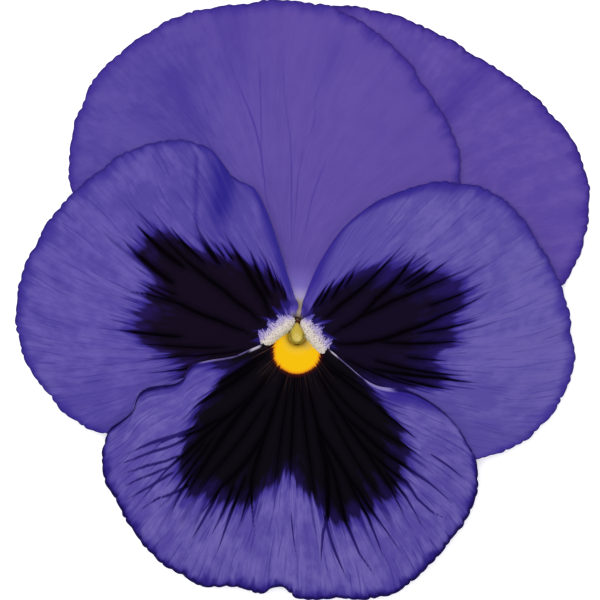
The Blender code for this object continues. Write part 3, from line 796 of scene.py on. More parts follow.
def petal_skin(name, seed):
    """The petal's sheet and its fields in mm: flow (along the margin, outwards, v), edge and
    side (to the whole margin and to the two side edges), body and base (inside their borders),
    vein (inside the veins), fold from 0 to 1, back 0 or 1. The base's border v becomes
    0.035 + 0.1 ((v - 0.04) / 0.1)^0.7, which makes its flames broad at the foot."""
    s = np.concatenate([[0], np.linspace(0.0006, 0.9994, COLUMNS.get(name, 618)), [1]])
    v = ROWS
    plan, length = petal_plan(name, s, v, seed)
    across, along = np.meshgrid(s, v)
    out = np.vstack([0 * s, np.cumsum(np.linalg.norm(np.diff(plan, axis=0), axis=2), axis=0)])
    over = np.cumsum(np.linalg.norm(np.diff(plan, axis=1), axis=2), axis=1)
    over = np.hstack([np.zeros((len(v), 1)), over])
    side = np.minimum(over, over[:, -1:] - over)
    border, pale = (np.interp(s, *way_of(rows.get(name, NO_BORDER))) for rows in (BODY, BASE))
    if name in BASE:
        pale = 0.035 + 0.1 * np.clip((pale - 0.04) / 0.1, 0, 1.2) ** 0.7
    fields = {
        "flow": np.dstack([np.broadcast_to(length, out.shape), out, along]),
        "edge": np.minimum(out[-1] - out, side), "side": side,
        "body": (border - along) * out[-1], "base": (pale - along) * out[-1],
        "vein": line_field(VEINS.get(name, []), across, along, over[:, -1:], out[-1]),
        "fold": fold_field(name, across, along, over[:, -1:])}
    height = blade_height(name, plan[..., 0], plan[..., 1])
    height = height + petal_relief(name, across, along, length, fields, seed)
    thickness = SKIN * (1 - 0.6 * rise(-fields["edge"], -2.0, 0.0))
    points, faces, back = sheet(np.dstack([plan, height]), thickness)
    points[:, 2] = np.maximum(points[:, 2], FLOOR_GAP)
    fields = {key: np.concatenate([value.reshape(-1, *value.shape[2:])] * 2)
              for key, value in fields.items()}
    fields["back"] = back
    return points, faces, fields


# %% [markdown]
# ## The petals' finish
# A pansy's petal is velvet over a paler wet tissue. Its colour has layers: light lanes between
# darker veins, a deeper margin with a dark line on the very edge, the blotch with its blue
# halo, the pale base, and a dull, lighter back. Painted shade darkens the folds, the turned
# edges and the margins where one petal lies over another, and a petal's edge casts painted
# shadow on the petal under it. Each layer is a mask from one field of the mesh and some noise
# drawn out along the veins.

# %% Hues and velvet
# fold colours the fine veins and the painted shade in folds and on turned edges; deep and rim also
# colour painted shade and shadow along margins and edges.
HUES = {                          # screen colours, and the strength of some layers
    "petal_upper_left": dict(
        light=(91, 77, 158), mid=(79, 65, 150), deep=(70, 54, 146), rim=(58, 40, 136),
        fold=(60, 44, 142), streaks=0.5, line=0.3, fine=0.22),
    "petal_upper_right": dict(
        light=(99, 80, 162), mid=(88, 69, 155), deep=(74, 54, 148), rim=(56, 36, 132),
        fold=(62, 43, 143), streaks=0.5, line=0.45, fine=0.22),
    "petal_side_left": dict(
        light=(100, 87, 167), mid=(81, 68, 152), deep=(63, 50, 144), rim=(50, 39, 130),
        fold=(45, 36, 132), rich=(33, 21, 76), dark=(20, 11, 28), streaks=0.6, line=0.35, fine=0.42,
        depth=3.6),
    "petal_side_right": dict(
        light=(104, 92, 168), mid=(87, 75, 157), deep=(66, 52, 146), rim=(52, 40, 132),
        fold=(47, 34, 134), rich=(34, 22, 86), dark=(19, 12, 33), streaks=0.6, line=0.35, fine=0.38,
        depth=6.0),
    "petal_lower": dict(
        light=(109, 97, 172), mid=(85, 72, 155), deep=(60, 46, 141), rim=(38, 27, 112),
        fold=(42, 30, 126), rich=(26, 17, 64), dark=(13, 9, 17), streaks=0.7, line=1.0, fine=0.55,
        depth=3.6),
}
INDIGO, BLACK, LINE = (47, 34, 134), (3, 1, 5), (24, 15, 72)
THROAT, EYE = (0.0, 2.2), (0.0, -1.56)


class Velvet(Finish):
    """A petal's finish: the fields of its mesh, noises about 0 that are drawn out along its
    veins, and the colour so far, which each coat goes over."""

    def __init__(self, name):
        super().__init__(name + "_velvet", Roughness=0.75, Specular_IOR_Level=0.01)
        self.name, self.hue = name, HUES[name]
        self.width, self.out, self.share = self.flow()
        self.x, self.y, _ = self.here()
        for key in ("edge", "side", "fold", "body", "base", "back", "vein"):
            setattr(self, key, self.field(key))
        self.lane = self.drawn_out(0.55, 0.05, 0.0, 3.0, 0.6)
        self.hairline = self.drawn_out(2.2, 0.11, 3.0, 2.0, 0.6)
        self.mottle = self.drawn_out(1.3, 0.7, 5.0, 3.0, 0.6)
        self.patch = self.drawn_out(0.4, 0.3, 9.0)
        self.comb = self.drawn_out(1.1, 0.05, 17.0, 2.0, 0.55)
        self.fray = self.hairline * 1.5 + self.mottle * 1.1

    def drawn_out(self, across, along, place, detail=2.0, roughness=0.5):
        vector = self.vector(self.width * across, self.out * along, place)
        return self.noise(vector, detail, roughness) - 0.5

    def coat(self, colour, share):
        self.colour = self.mix(self.colour, colour, share)

    def away(self, x, y):
        """Distance in mm from a place on the flower."""
        return ((self.x - x) * (self.x - x) + (self.y - y) * (self.y - y)) ** 0.5

    def forks(self, spacing, seed):
        """Fine veins as a mask. Cells as wide as the spacing along the margin each hold one
        line, swayed by noise. Past a point of its own on the way out it forks, and the two
        parts stand |place in the cell| = 0.26 apart from the middle by the margin."""
        sway = self.noise(self.vector(self.width * 0.1, self.out * 0.06, seed), 1.0)
        row = self.width / spacing + (sway - 0.5) * 2.0
        cell = row.maths("FLOOR")
        chance = self.noise(self.vector(cell * 3.7, 0.5, seed), 0.0)
        apart = (self.share - chance * 0.9).rise(0.0, 0.4) * 0.26
        away = ((row - cell - 0.2 - chance * 0.6).size() - apart).size()
        fickle = self.noise(self.vector(self.width * 0.6, self.out * 0.2, seed + 4.0), 2.0)
        return away.fall(0.0, 0.19 / spacing) * fickle.rise(0.42, 0.62)


# %% Ground, margin and folds


def paint_ground(velvet):
    """Light lanes between darker ones, lighter or darker by place; fine veins; a deeper, ragged
    margin, partly painted shade where it lies over another petal; on the upper left petal the
    painted shadow of the right side petal's edge; painted shade on the turned edges of the side
    petals; and painted shade in the folds."""
    name, hue, x, y = velvet.name, velvet.hue, velvet.x, velvet.y
    side, share, edge, patch = velvet.side, velvet.share, velvet.edge, velvet.patch
    cloud = velvet.noise(velvet.vector(x * 0.09, y * 0.09, 7.0), 3.0) - 0.5
    light = velvet.lane * hue["streaks"] + velvet.mottle * 0.5 + (cloud + patch) * 0.7
    if name == "petal_side_right":
        light = light + (x - 22.0) * 0.013 - y.rise(8.0, 18.0) * 0.12 - y.fall(-13.0, 1.0) * 0.2
    if name == "petal_side_left":
        light = light - y.fall(-12.0, 4.0) * 0.16 - x.rise(-14.0, -7.0) * 0.14
    if name == "petal_lower":
        light = light - x.rise(6.0, 16.0) * y.fall(-26.0, -18.0) * 0.15
        light = light - x.fall(-20.0, -9.0) * 0.08
    velvet.colour = velvet.mix(hue["mid"], hue["light"], light.rise(-0.22, 0.22))
    if name == "petal_upper_left":
        velvet.coat((100, 79, 160), x.rise(-16.0, 1.0) * 0.6)
        velvet.coat((86, 62, 150), x.rise(5.0, 19.0) * 0.3 + y.rise(32.0, 43.0) * 0.2)
        # Painted shadow: the right side petal's edge lies over this part of the upper left petal.
        velvet.coat(hue["deep"], side.fall(0.3, 4.5) * x.rise(1.5, 7.0) * 0.6)
    calm = side.rise(0.5, 7.0) if name == "petal_lower" else 1.0
    velvet.coat(hue["deep"], velvet.hairline.rise(-0.05, 0.3) * (0.28 * hue["streaks"]) * calm)
    near = 1.0 if name in BODY else 1 - share.rise(0.2, 0.8) * 0.8
    velvet.fine = (velvet.forks(1.7, 31.0) * 0.5).most(velvet.forks(2.5, 19.0)) * near
    velvet.coat(hue["fold"], velvet.fine * hue["fine"])
    # A deeper margin and a darker rim: partly the petal's own margin colour, partly painted shade
    # where a margin lies over another petal.
    velvet.coat(hue["deep"], (edge + velvet.lane * 2.0 + patch * 2.4).fall(0.2, 2.0) * 0.9)
    velvet.coat(hue["rim"], (edge + velvet.hairline * 1.2 + patch * 0.8).fall(0.1, 1.0) * 0.6)
    # Painted shade on the turned edges: the right side petal's left edge and upper left margin, and
    # the left side petal's right edge by the throat.
    if name == "petal_side_right":
        turned_edge_shade = edge.fall(0.5, 2.8) * velvet.width.fall(10.0, 26.0) * share.rise(0.2, 0.4)
        velvet.coat(hue["fold"], turned_edge_shade * 0.75)
    if name == "petal_side_left":
        turned_edge_shade = side.fall(0.3, 1.6) * x.rise(-8.0, -6.0) * share.rise(0.15, 0.3)
        velvet.coat(hue["fold"], turned_edge_shade * 0.75)
    # Painted shade in the folds, broken into streaks. On the upper right petal it is the painted
    # shadow of the upper left petal's edge, and on the upper left petal it also stands for its
    # darker vein clusters. Petals without a blotch get their veins in the same colour.
    fold_shade_and_veins = velvet.fold * (velvet.comb * 1.3 + patch * 0.5 + 1.05)
    if name not in BODY:
        fold_shade_and_veins = fold_shade_and_veins.most((velvet.vein + velvet.fray * 0.1).rise(-0.14, 0.12) * 0.6)
    velvet.coat(hue["fold"], fold_shade_and_veins)


# %% Dark face


def paint_dark_face(velvet):
    """The blue halo with its flames, pigment that deepens inwards, the black veins, and on the
    side petals the pale foot."""
    hue, body, vein, patch, fray = velvet.hue, velvet.body, velvet.vein, velvet.patch, velvet.fray
    strand = velvet.drawn_out(0.85, 0.06, 13.0) * 5.0
    halo = (body + strand * 1.3 + fray * 0.6 + patch * 5.0).rise(-2.1, 0.1) * 0.8
    beside = (vein + velvet.hairline * 0.25).rise(-0.445, -0.005) * body.rise(-3.0, -0.5) * 0.6
    velvet.coat(INDIGO, halo.most(beside))
    reach = (body + patch * 5.0).rise(-7.5, -0.5)
    velvet.coat((38, 26, 108), (velvet.comb + reach * 0.16).rise(0.16, 0.26) * 0.8 * reach)
    if velvet.name in BASE:
        glow = (122, 106, 184) if velvet.name == "petal_side_left" else (98, 78, 168)
        velvet.coat(glow, velvet.away(*THROAT).fall(1.0, 4.0))
    deeper = (body + patch * 9.0 + velvet.lane * 8.0).rise(-0.8, hue["depth"])
    pigment = velvet.mix(hue["rich"], hue["dark"], deeper)
    velvet.coat(pigment, (body + strand + fray * 0.6).rise(-0.6, 0.5))
    inside = body.rise(-0.5, 2.0)
    velvet.coat(BLACK, vein.rise(-0.8, 0.05) * inside * 0.5)
    ink = velvet.mix((34, 23, 96), BLACK, body.rise(-2.8, 0.4))
    drawn = (vein + fray * 0.15 - inside * 0.1).rise(-0.09 - inside * 0.13, 0.08)
    bold = 0.75 if velvet.name in BASE else 0.95
    velvet.coat(ink, drawn * (bold + (1 - bold) * body.rise(-4.0, -0.5)))
    if velvet.name in BASE:
        flame = velvet.base + velvet.comb * 0.9 + velvet.hairline * 0.5
        velvet.coat((42, 31, 118), flame.rise(-1.0, 0.3) * 0.8)
        velvet.coat((86, 70, 168), flame.rise(0.4, 1.3))
        velvet.coat((150, 135, 205), flame.rise(1.1, 1.9))
        velvet.coat((206, 194, 220), flame.rise(1.4, 2.4) * velvet.y.fall(2.6, 3.8))


# %% Golden eye


def paint_eye(velvet):
    """The lower petal's edges by the throat, pale where they roll over, and its golden eye with
    the painted shadow of the pistil's head on it.
    """
    side, share, mottle, hairline = velvet.side, velvet.share, velvet.mottle, velvet.hairline
    right = velvet.width.fall(4.0, 8.0)
    blue = right * side.fall(1.4, 3.4) * share.rise(0.5, 0.62) * share.fall(0.8, 0.95)
    velvet.coat(INDIGO, blue * 0.85)
    dim = velvet.mix((108, 97, 156), (134, 121, 178), share.rise(0.33, 0.42))
    roll = side.fall(0.08, 0.26) * share.rise(0.2, 0.24) * share.fall(0.43, 0.47)
    velvet.coat(dim, roll * mottle.rise(-0.2, 0.0) * 0.75)
    along = share - right * 0.05
    tuft = side.fall(0.15, 0.45) * along.rise(0.165, 0.185) * along.fall(0.21, 0.235)
    velvet.coat((196, 188, 212), tuft * mottle.rise(-0.3, -0.05) * 0.9)
    flap = right * side.fall(0.3, 0.8) * share.rise(0.45, 0.5) * share.fall(0.6, 0.67)
    velvet.coat((154, 142, 204), flap * 0.85)
    jag = 0.3 + 0.9 * velvet.x.size().rise(1.2, 2.4)
    from_eye = velvet.away(*EYE) - (hairline + 0.05) * jag
    ray = hairline.rise(0.1, 0.22) * from_eye.rise(3.0, 3.3) * from_eye.fall(3.6, 6.5)
    velvet.coat((92, 62, 46), ray * 0.6)
    gold = velvet.mix((237, 185, 12), (232, 190, 52), velvet.away(0.0, -0.1).fall(1.0, 2.4))
    # Painted shadow of the pistil's head, on the eye beside it.
    gold = velvet.mix(gold, (180, 150, 84), velvet.away(1.3, -0.75).fall(0.2, 1.1) * 0.5)
    rim = velvet.mix((230, 144, 24), (58, 16, 12), from_eye.rise(2.85, 3.1))
    ring = velvet.mix(gold, rim, from_eye.rise(2.55, 2.95))
    velvet.colour = velvet.mix(ring, velvet.colour, from_eye.rise(3.05, 3.6))


# %% Whole petal


def petal_finish(name):
    """One petal's finish: ground, then the dark face or an upper petal's pale seat, with painted
    light at the claw against the shade of its steep drop, the dark line on the edge, and the
    rear, which is 0.4 of the light lanes and 0.6 of a dull lilac."""
    velvet = Velvet(name)
    hue, out, share, edge = velvet.hue, velvet.out, velvet.share, velvet.edge
    paint_ground(velvet)
    if name in BODY:
        paint_dark_face(velvet)
    else:
        velvet.coat((128, 113, 194), (out + velvet.lane).fall(2.0, 7.5))
        velvet.coat((168, 155, 202), out.fall(2.5, 4.4))
        velvet.coat((164, 150, 128), out.fall(1.9, 2.9))
        # Painted light: the seat is paler still at the claw, to offset the shade of the claw's steep
        # drop.
        velvet.coat((212, 192, 184), out.fall(0.5, 1.5))
    weight = hue["line"]
    ragged = edge + velvet.mottle * 0.7 + velvet.hairline * 0.5
    line = ragged.fall(0.08 + 0.14 * weight, 0.3 + 0.28 * weight) * share.rise(0.44, 0.5)
    if name == "petal_lower":
        paint_eye(velvet)
        blot = edge + velvet.patch * 2.6 + velvet.comb * 4.0
        velvet.coat((36, 26, 112), blot.fall(0.0, 1.3) * share.rise(0.6, 0.8) * 0.8)
        line = line * (1 - velvet.width.fall(4.0, 8.0) * share.fall(0.62, 0.68))
    else:
        line = line * velvet.side.rise(0.2, 0.8)
    velvet.coat(LINE, line * (0.92 * weight))

    pale = 0.4 * np.array(tint(*hue["light"])) + 0.6 * np.array(tint(158, 146, 205))
    rear = velvet.mix(tuple(pale.tolist()), hue["deep"], velvet.fine * 0.3)
    ribs = velvet.vein.rise(-0.16, 0.2) * (0.4 if name in BODY else 0.15)
    rear = velvet.mix(rear, (84, 68, 150), ribs)
    rear = velvet.mix(rear, (70, 58, 120), velvet.body.rise(-1.5, 1.5) * 0.55)
    velvet.coat(rear, velvet.back.rise(0.9, 0.99))
    velvet.feed("Base Color", velvet.colour)
    cells = velvet.noise(velvet.vector(velvet.width * 9.0, out * 9.0), 2.0)
    grain = cells * 0.35 + (velvet.hairline + 0.5) * (0.6 * hue["streaks"]) - velvet.fine * 0.4
    velvet.bump(grain * velvet.away(*THROAT).rise(6.5, 7.5), 0.00006)
    return velvet


# %% Make the petals
SEEDS = {"petal_upper_right": 21, "petal_upper_left": 34, "petal_side_left": 47,
         "petal_side_right": 58}
for name, seed in SEEDS.items():
    points, faces, fields = petal_skin(name, seed)
    piece(name + "_skin", points, [faces], petal_finish(name), fields, [name])

# %% [markdown]
# ## The lower petal and its spur
# The lower petal ends in a hollow spur that holds the nectar. Its mouth opens just under the
# stigma, the blade pours into it, and the tube runs down and back between the sepals.

# %% Lower petal
SPUR = [  # y, height, radius
    (-0.35, 11.5, 0.5), (-0.6, 10.9, 0.56), (-1.0, 9.9, 0.76), (-1.36, 8.75, 0.96),
    (-1.68, 8.0, 0.97), (-2.0, 7.2, 1.0), (-2.3, 6.3, 1.04), (-2.58, 5.4, 1.06),
    (-2.82, 4.6, 1.02), (-3.05, 3.9, 0.88), (-3.22, 3.3, 0.62), (-3.32, 2.95, 0.3)]
SPUR_TIPS = (0.0, -3.36, 2.8), (0.0, -3.34, 3.1)      # outside and inside
RINGS, SIDES = 46, 48


def spur_wall(grow):
    """Rings of the spur: circles round its path, the radius plus grow (1 - 0.7 way^6)."""
    way = np.linspace(0, 1, RINGS)
    y, z, radius = read_off(SPUR, way)
    angle = np.arange(SIDES) * 2 * np.pi / SIDES
    radius = (radius + grow * (1 - 0.7 * way ** 6))[:, None]
    return np.dstack([radius * np.cos(angle), y[:, None] + radius * np.sin(angle),
                      np.broadcast_to(z[:, None], (RINGS, SIDES))])


def cup(outer, inner, outer_tip, inner_tip):
    """Closed cup from two stacks of rings: outer wall, inner wall, rim between their first
    rings, and a fan at each tip. Returns points, four-sided faces and triangles."""
    rings, sides = outer.shape[:2]
    count = rings * sides
    points = np.concatenate([outer.reshape(-1, 3), inner.reshape(-1, 3), [outer_tip, inner_tip]])
    wall = net(rings, sides, True)[:, [0, 3, 2, 1]]
    first, after = np.arange(sides), np.roll(np.arange(sides), -1)
    rim = np.stack([first, after, after + count, first + count], -1)
    quads = np.concatenate([wall, wall[:, ::-1] + count, rim])
    last, past = first + count - sides, after + count - sides
    tip = np.stack([last, np.full(sides, 2 * count), past], -1)
    deep = np.stack([past + count, np.full(sides, 2 * count + 1), last + count], -1)
    return points, quads, np.concatenate([tip, deep])


points, faces, fields = petal_skin("petal_lower", 69)
tube, quads, fans = cup(spur_wall(0.12), spur_wall(-0.12), *SPUR_TIPS)
start, count = len(points), RINGS * SIDES
round_spur = np.append(np.tile(np.linspace(0, 9, SIDES), 2 * RINGS), [0, 0])
along_spur = np.append(np.tile(np.repeat(np.linspace(0, 8, RINGS), SIDES), 2), [8, 8])
extra = {key: np.full(len(tube), value) for key, value in {
    "edge": 9.0, "side": 9.0, "body": -20.0, "base": -20.0, "vein": -9.0, "fold": 0.0}.items()}
extra["flow"] = np.column_stack([round_spur, along_spur, np.zeros(len(tube))])
extra["back"] = np.concatenate([np.ones(count), np.zeros(count), [1, 0]])
fields = {key: np.concatenate([fields[key], extra[key]]) for key in fields}
piece("petal_lower_skin", np.concatenate([points, tube]), [faces, quads + start, fans + start],
      petal_finish("petal_lower"), fields, ["petal_lower"])

# %% [markdown]
# ## Beards
# Beside the throat each side petal carries a beard of short club hairs that guide an insect's
# tongue. They stand on a ridge that leans over the lower petal's edge and hides the way down.
# Every hair is a small closed tube: thin at its foot, swollen near its round tip. At the outer
# side they turn lilac and lie down over the blotch.

# %% Hairs
BEARDS = {
    "petal_side_left": dict(way=[(-0.45, 2.6), (-1.13, 1.83), (-2.43, 0.9), (-3.73, -0.26),
                                 (-4.45, -0.85)], out=(-0.64, 0.77), tufts=(3.2, 0.225), seed=5),
    "petal_side_right": dict(way=[(0.72, 2.35), (1.33, 1.04), (2.2, 0.03), (3.2, -1.27),
                                  (3.6, -2.1)], out=(0.78, 0.62), tufts=(2.6, 0.43), seed=6),
}
HAIRS, HAIR_SIDES, RIDGE_RINGS, RIDGE_SIDES = 1300, 5, 24, 20
HAIR_STEPS = np.array([0.0, 0.3, 0.6, 0.8, 0.93, 1.0])
RIDGE = (0.82, 1.2, 0.95)         # mm: half width, half height, middle above the petal
UP = np.array([0.0, 0.0, 1.0])


def ridge_place(name, along):
    """Middle and swelling of a beard's ridge: sqrt(1 - (2 along - 1)^4), none at the ends."""
    plan = by_length(np.array(BEARDS[name]["way"]), along)
    swell = np.sqrt(np.clip(1 - (2 * along - 1) ** 4, 0.01, 1))
    height = np.maximum(blade_height(name, plan[:, 0], plan[:, 1]), 11.2) + RIDGE[2] * swell
    return np.column_stack([plan, height]), swell


def hair_field(name):
    """Hairs of one beard. The foot stands on the ridge at the angle a from upright, and the path
    is foot + length (t heading + t^2 lean) - 0.08 heading. Heading is out (0.4 + 0.6 sin a)
    + 0.8 up cos a and some chance, and lean is fringe (out - up) / 2. The length grows by
    fringe (1.35 tuft^2 - 0.3), tuft being 0.5 + 0.5 cos(2 pi many (along - first)). The radius
    swells near the tip and closes as sqrt(1 - u^2) over the last fifth. Returns the mesh and
    each point's tone, 0 at the eye's side and more at the outer side."""
    out = np.array([*BEARDS[name]["out"], 0.0])
    chance = np.random.default_rng(BEARDS[name]["seed"])
    along = chance.uniform(0, 1, HAIRS)
    angle = np.arcsin(chance.uniform(-0.97, 0.97, HAIRS))
    middle, swell = ridge_place(name, along)
    foot = (middle + (RIDGE[0] * swell * np.sin(angle))[:, None] * out
            + (RIDGE[1] * swell * np.cos(angle))[:, None] * UP)
    fringe = rise(np.sin(angle), 0.4, 0.95)
    many, first = BEARDS[name]["tufts"]
    tuft = 0.5 + 0.5 * np.cos(2 * np.pi * many * (along - first))
    length = chance.uniform(0.32, 0.5, HAIRS) * (1 + fringe * (1.35 * tuft ** 2 - 0.3))
    heading = ((0.6 * np.sin(angle) + 0.4)[:, None] * out
               + 0.8 * np.cos(angle)[:, None] * UP + chance.normal(0, 0.1, (HAIRS, 3)))[:, None]
    lean = (fringe[:, None] * (0.5 * out - 0.5 * UP))[:, None]
    t = HAIR_STEPS[None, :, None]
    centres = foot[:, None] + length[:, None, None] * (t * heading + t ** 2 * lean)
    centres = centres - 0.08 * heading
    tangent = unit(np.gradient(centres, axis=1))
    sideways = unit(np.cross(tangent, (0.3, 1.0, 0.1)))
    other = np.cross(tangent, sideways)
    closing = np.sqrt(np.clip(1 - ((HAIR_STEPS - 0.8) / 0.205).clip(0) ** 2, 0, 1))
    radius = 0.075 * (0.7 + 0.5 * rise(HAIR_STEPS, 0.2, 0.8)) * closing
    radius = radius[None, :, None] * chance.uniform(0.85, 1.2, HAIRS)[:, None, None]
    points, quads, fans = tubes(centres, sideways * radius, other * radius, HAIR_SIDES)
    high = 0.35 * (1 - rise(along, 0.0, 0.2))
    tone = (0.5 + 0.5 * np.sin(angle) + high + chance.normal(0, 0.07, HAIRS))[:, None]
    tone = tone + 0.5 * (fringe * tuft)[:, None] * HAIR_STEPS
    tone = np.hstack([np.repeat(tone, HAIR_SIDES, axis=1), tone[:, [0, -1]]]).ravel()

    middle, swell = ridge_place(name, np.linspace(0, 1, RIDGE_RINGS))
    ridge, more_quads, more_fans = tubes(
        middle[None], (RIDGE[0] * swell[:, None] * out)[None],
        (RIDGE[1] * swell[:, None] * UP)[None], RIDGE_SIDES)
    round_ridge = 0.5 + 0.5 * np.cos(np.arange(RIDGE_SIDES) * 2 * np.pi / RIDGE_SIDES)
    ridge_tone = np.append(np.tile(round_ridge, RIDGE_RINGS), [0.5, 0.5])
    offset = len(points)
    return (np.concatenate([points, ridge]), np.concatenate([quads, more_quads + offset]),
            np.concatenate([fans, more_fans + offset]), np.concatenate([tone, ridge_tone]))


down = Finish("beard_down", Roughness=0.6, Specular_IOR_Level=0.2)
tone = down.field("tone")
white = down.mix((208, 200, 172), (226, 216, 208), tone.rise(0.0, 0.4))
white = down.mix(white, (190, 176, 218), tone.rise(0.5, 0.95))
down.feed("Base Color", down.mix(white, (92, 78, 178), tone.rise(0.95, 1.45)))
for name in BEARDS:
    points, quads, fans, tone = hair_field(name)
    piece(name.replace("petal", "beard"), points, [quads, fans], down, {"tone": tone})

# %% [markdown]
# ## Pistil
# In front of the throat hangs the pistil's head, a hollow pear with an open lip that scrapes
# the pollen off a visitor. Its style rises out of the anther cone, bends over and swells, so
# that from the front the neck shows above the head. It is one tube along a bent path.

# %% Pistil
PISTIL = [  # y, height, radius
    (1.3, 7.8, 0.3), (1.3, 8.1, 0.44), (1.3, 8.6, 0.52), (1.3, 9.1, 0.49), (1.3, 9.6, 0.36),
    (1.3, 10.2, 0.25), (1.32, 10.8, 0.22), (1.45, 11.4, 0.22), (1.66, 11.9, 0.23),
    (1.78, 12.3, 0.25), (1.76, 12.65, 0.28), (1.62, 12.88, 0.38), (1.46, 12.96, 0.52),
    (1.22, 13.03, 0.7), (0.95, 13.07, 0.85), (0.7, 13.09, 0.96), (0.4, 13.1, 1.05),
    (0.1, 13.1, 1.09), (-0.15, 13.09, 1.03), (-0.35, 13.06, 0.9), (-0.5, 13.02, 0.7),
    (-0.6, 12.98, 0.44), (-0.65, 12.96, 0.15)]
HEAD_RINGS, HEAD_SIDES = 90, 56


def lip(x, y):
    """The head's lip: a U in plan, 0.8 mm from the point (0, 0.22) below it and two upright
    arms above; 1 on its line and exp(-(distance / 0.14)^2) beside it."""
    reach = np.where(y < 0.22, np.hypot(x, y - 0.22), np.abs(x))
    return np.exp(-((reach - 0.8) / 0.14) ** 2) * (1 - rise(y, 0.4, 1.0))


run = walked(np.array(PISTIL)[:, :2])
y, z, radius = read_off(PISTIL, np.linspace(0, 1, HEAD_RINGS), run / run[-1])
radius = (np.append(radius[0], radius[:-1]) + radius + np.append(radius[1:], radius[-1])) / 3
radius = radius[:, None]
centres = np.column_stack([0 * y, y, z])
sideways = np.tile((1.0, 0.0, 0.0), (len(y), 1))
inward = np.cross(unit(np.gradient(centres, axis=0)), sideways)
points, quads, fans = tubes(centres[None], (sideways * radius)[None],
                            (inward * radius)[None], HEAD_SIDES)
top = rise(points[:, 2], 12.9, 13.5)
rim = lip(points[:, 0], points[:, 1]) * top
# The hollow in the head's face; its mask also carries the painted highlight in it.
hollow = np.exp(-(np.hypot(points[:, 0] - 0.1, points[:, 1] - 0.05) / 0.36) ** 2) * top
points[:, 2] += 0.06 * rim - 0.16 * hollow

olive = Finish("pistil_skin", Roughness=0.45, Specular_IOR_Level=0.3)
x, y, z = olive.here()
body = olive.mix((120, 128, 52), (190, 165, 56), z.rise(9.5, 12.5))
# Painted highlight: the head is paler yellow in its hollow.
body = olive.mix(body, (206, 188, 92), olive.field("hollow") * 0.8)
body = olive.mix(body, (126, 108, 18), olive.field("lip"))
speck = olive.noise(olive.vector(x * 4.0, y * 4.0, z * 4.0), 3.0)
olive.feed("Base Color", olive.mix(body, (150, 140, 40), speck.rise(0.5, 0.8) * 0.35))
olive.bump(speck, 0.00003)
piece("pistil_head", points, [quads, fans], olive, {"lip": rim, "hollow": hollow},
      ["pistil"])

# %% [markdown]
# ## Stamens
# Five anthers cling in a cone round the ovary, and each ends in a thin brown flap. Seen from
# the front only the brown flaps glow through the gap above the stigma.

# %% Stamens
ANTHERS, ROUND, TALL = 5, 100, 26
angle, t = np.meshgrid(np.arange(ROUND) * 2 * np.pi / ROUND, np.linspace(0, 1, TALL))
lobe = np.abs(np.cos(ANTHERS / 2 * (angle - np.pi / 2))) ** 0.7
wall = 0.2 + 0.26 * lobe * np.sin(np.pi * (0.12 + 0.8 * t)) ** 0.7
ridged = 0.72 - 0.26 * rise(t, 0.45, 1) + 0.04 * np.cos(2 * ANTHERS * (angle - np.pi / 2))
height = 7.85 + t * (2.2 + 0.75 * lobe) + 0.12 * lobe * (1 - t)
walls = [np.dstack([AXIS[0] + (ridged + half) * np.cos(angle),
                    AXIS[1] + (ridged + half) * np.sin(angle), height]) for half in (wall, -wall)]
face, inner = net(TALL, ROUND, True), TALL * ROUND
first, after, top = np.arange(ROUND), np.roll(np.arange(ROUND), -1), inner - ROUND
head = np.stack([first + top, after + top, after + top + inner, first + top + inner], -1)
foot = np.stack([after, first, first + inner, after + inner], -1)
anther = Finish("anther_skin", Roughness=0.6, Specular_IOR_Level=0.2)
grain = anther.noise(anther.vector(*[c * 5.0 for c in anther.here()]), 3.0)
cream = anther.mix((226, 205, 150), (205, 176, 104), grain)
flap = (anther.field("tip") + grain * 0.2).rise(0.55, 0.85)
anther.feed("Base Color", anther.mix(cream, (112, 48, 20), flap))
anther.bump(grain, 0.00004)
piece("stamen_cone", np.concatenate([w.reshape(-1, 3) for w in walls]),
      [np.concatenate([face, face[:, ::-1] + inner, head, foot])], anther,
      {"tip": np.tile(t.ravel(), 2)}, ["stamens"])

# %% [markdown]
# ## Calyx
# Behind the petals sit five narrow sepals. A viola's sepal is fixed a little above its lower
# end, and the part below that stands off as an ear. Each is one sheet that follows a bent
# path: up from the ear, past its seat on the receptacle and out under the petals.

# %% Sepals
SEPALS = {  # bearing, length, height of the tip
    "sepal_top": (92, 13.8, 6.0), "sepal_upper_right": (22, 14.6, 6.0),
    "sepal_upper_left": (156, 14.6, 6.0), "sepal_lower_right": (-43, 15.6, 7.2),
    "sepal_lower_left": (-137, 15.6, 7.2)}
EAR = [(3.15, 4.15, 0.5), (2.9, 4.5, 0.98), (2.62, 5.0, 1.12), (2.42, 5.5, 1.08),
       (2.3, 6.0, 0.98), (2.7, 6.45, 0.95)]   # distance, height, half width
SEPAL_ROWS, SEPAL_COLUMNS = 110, 25


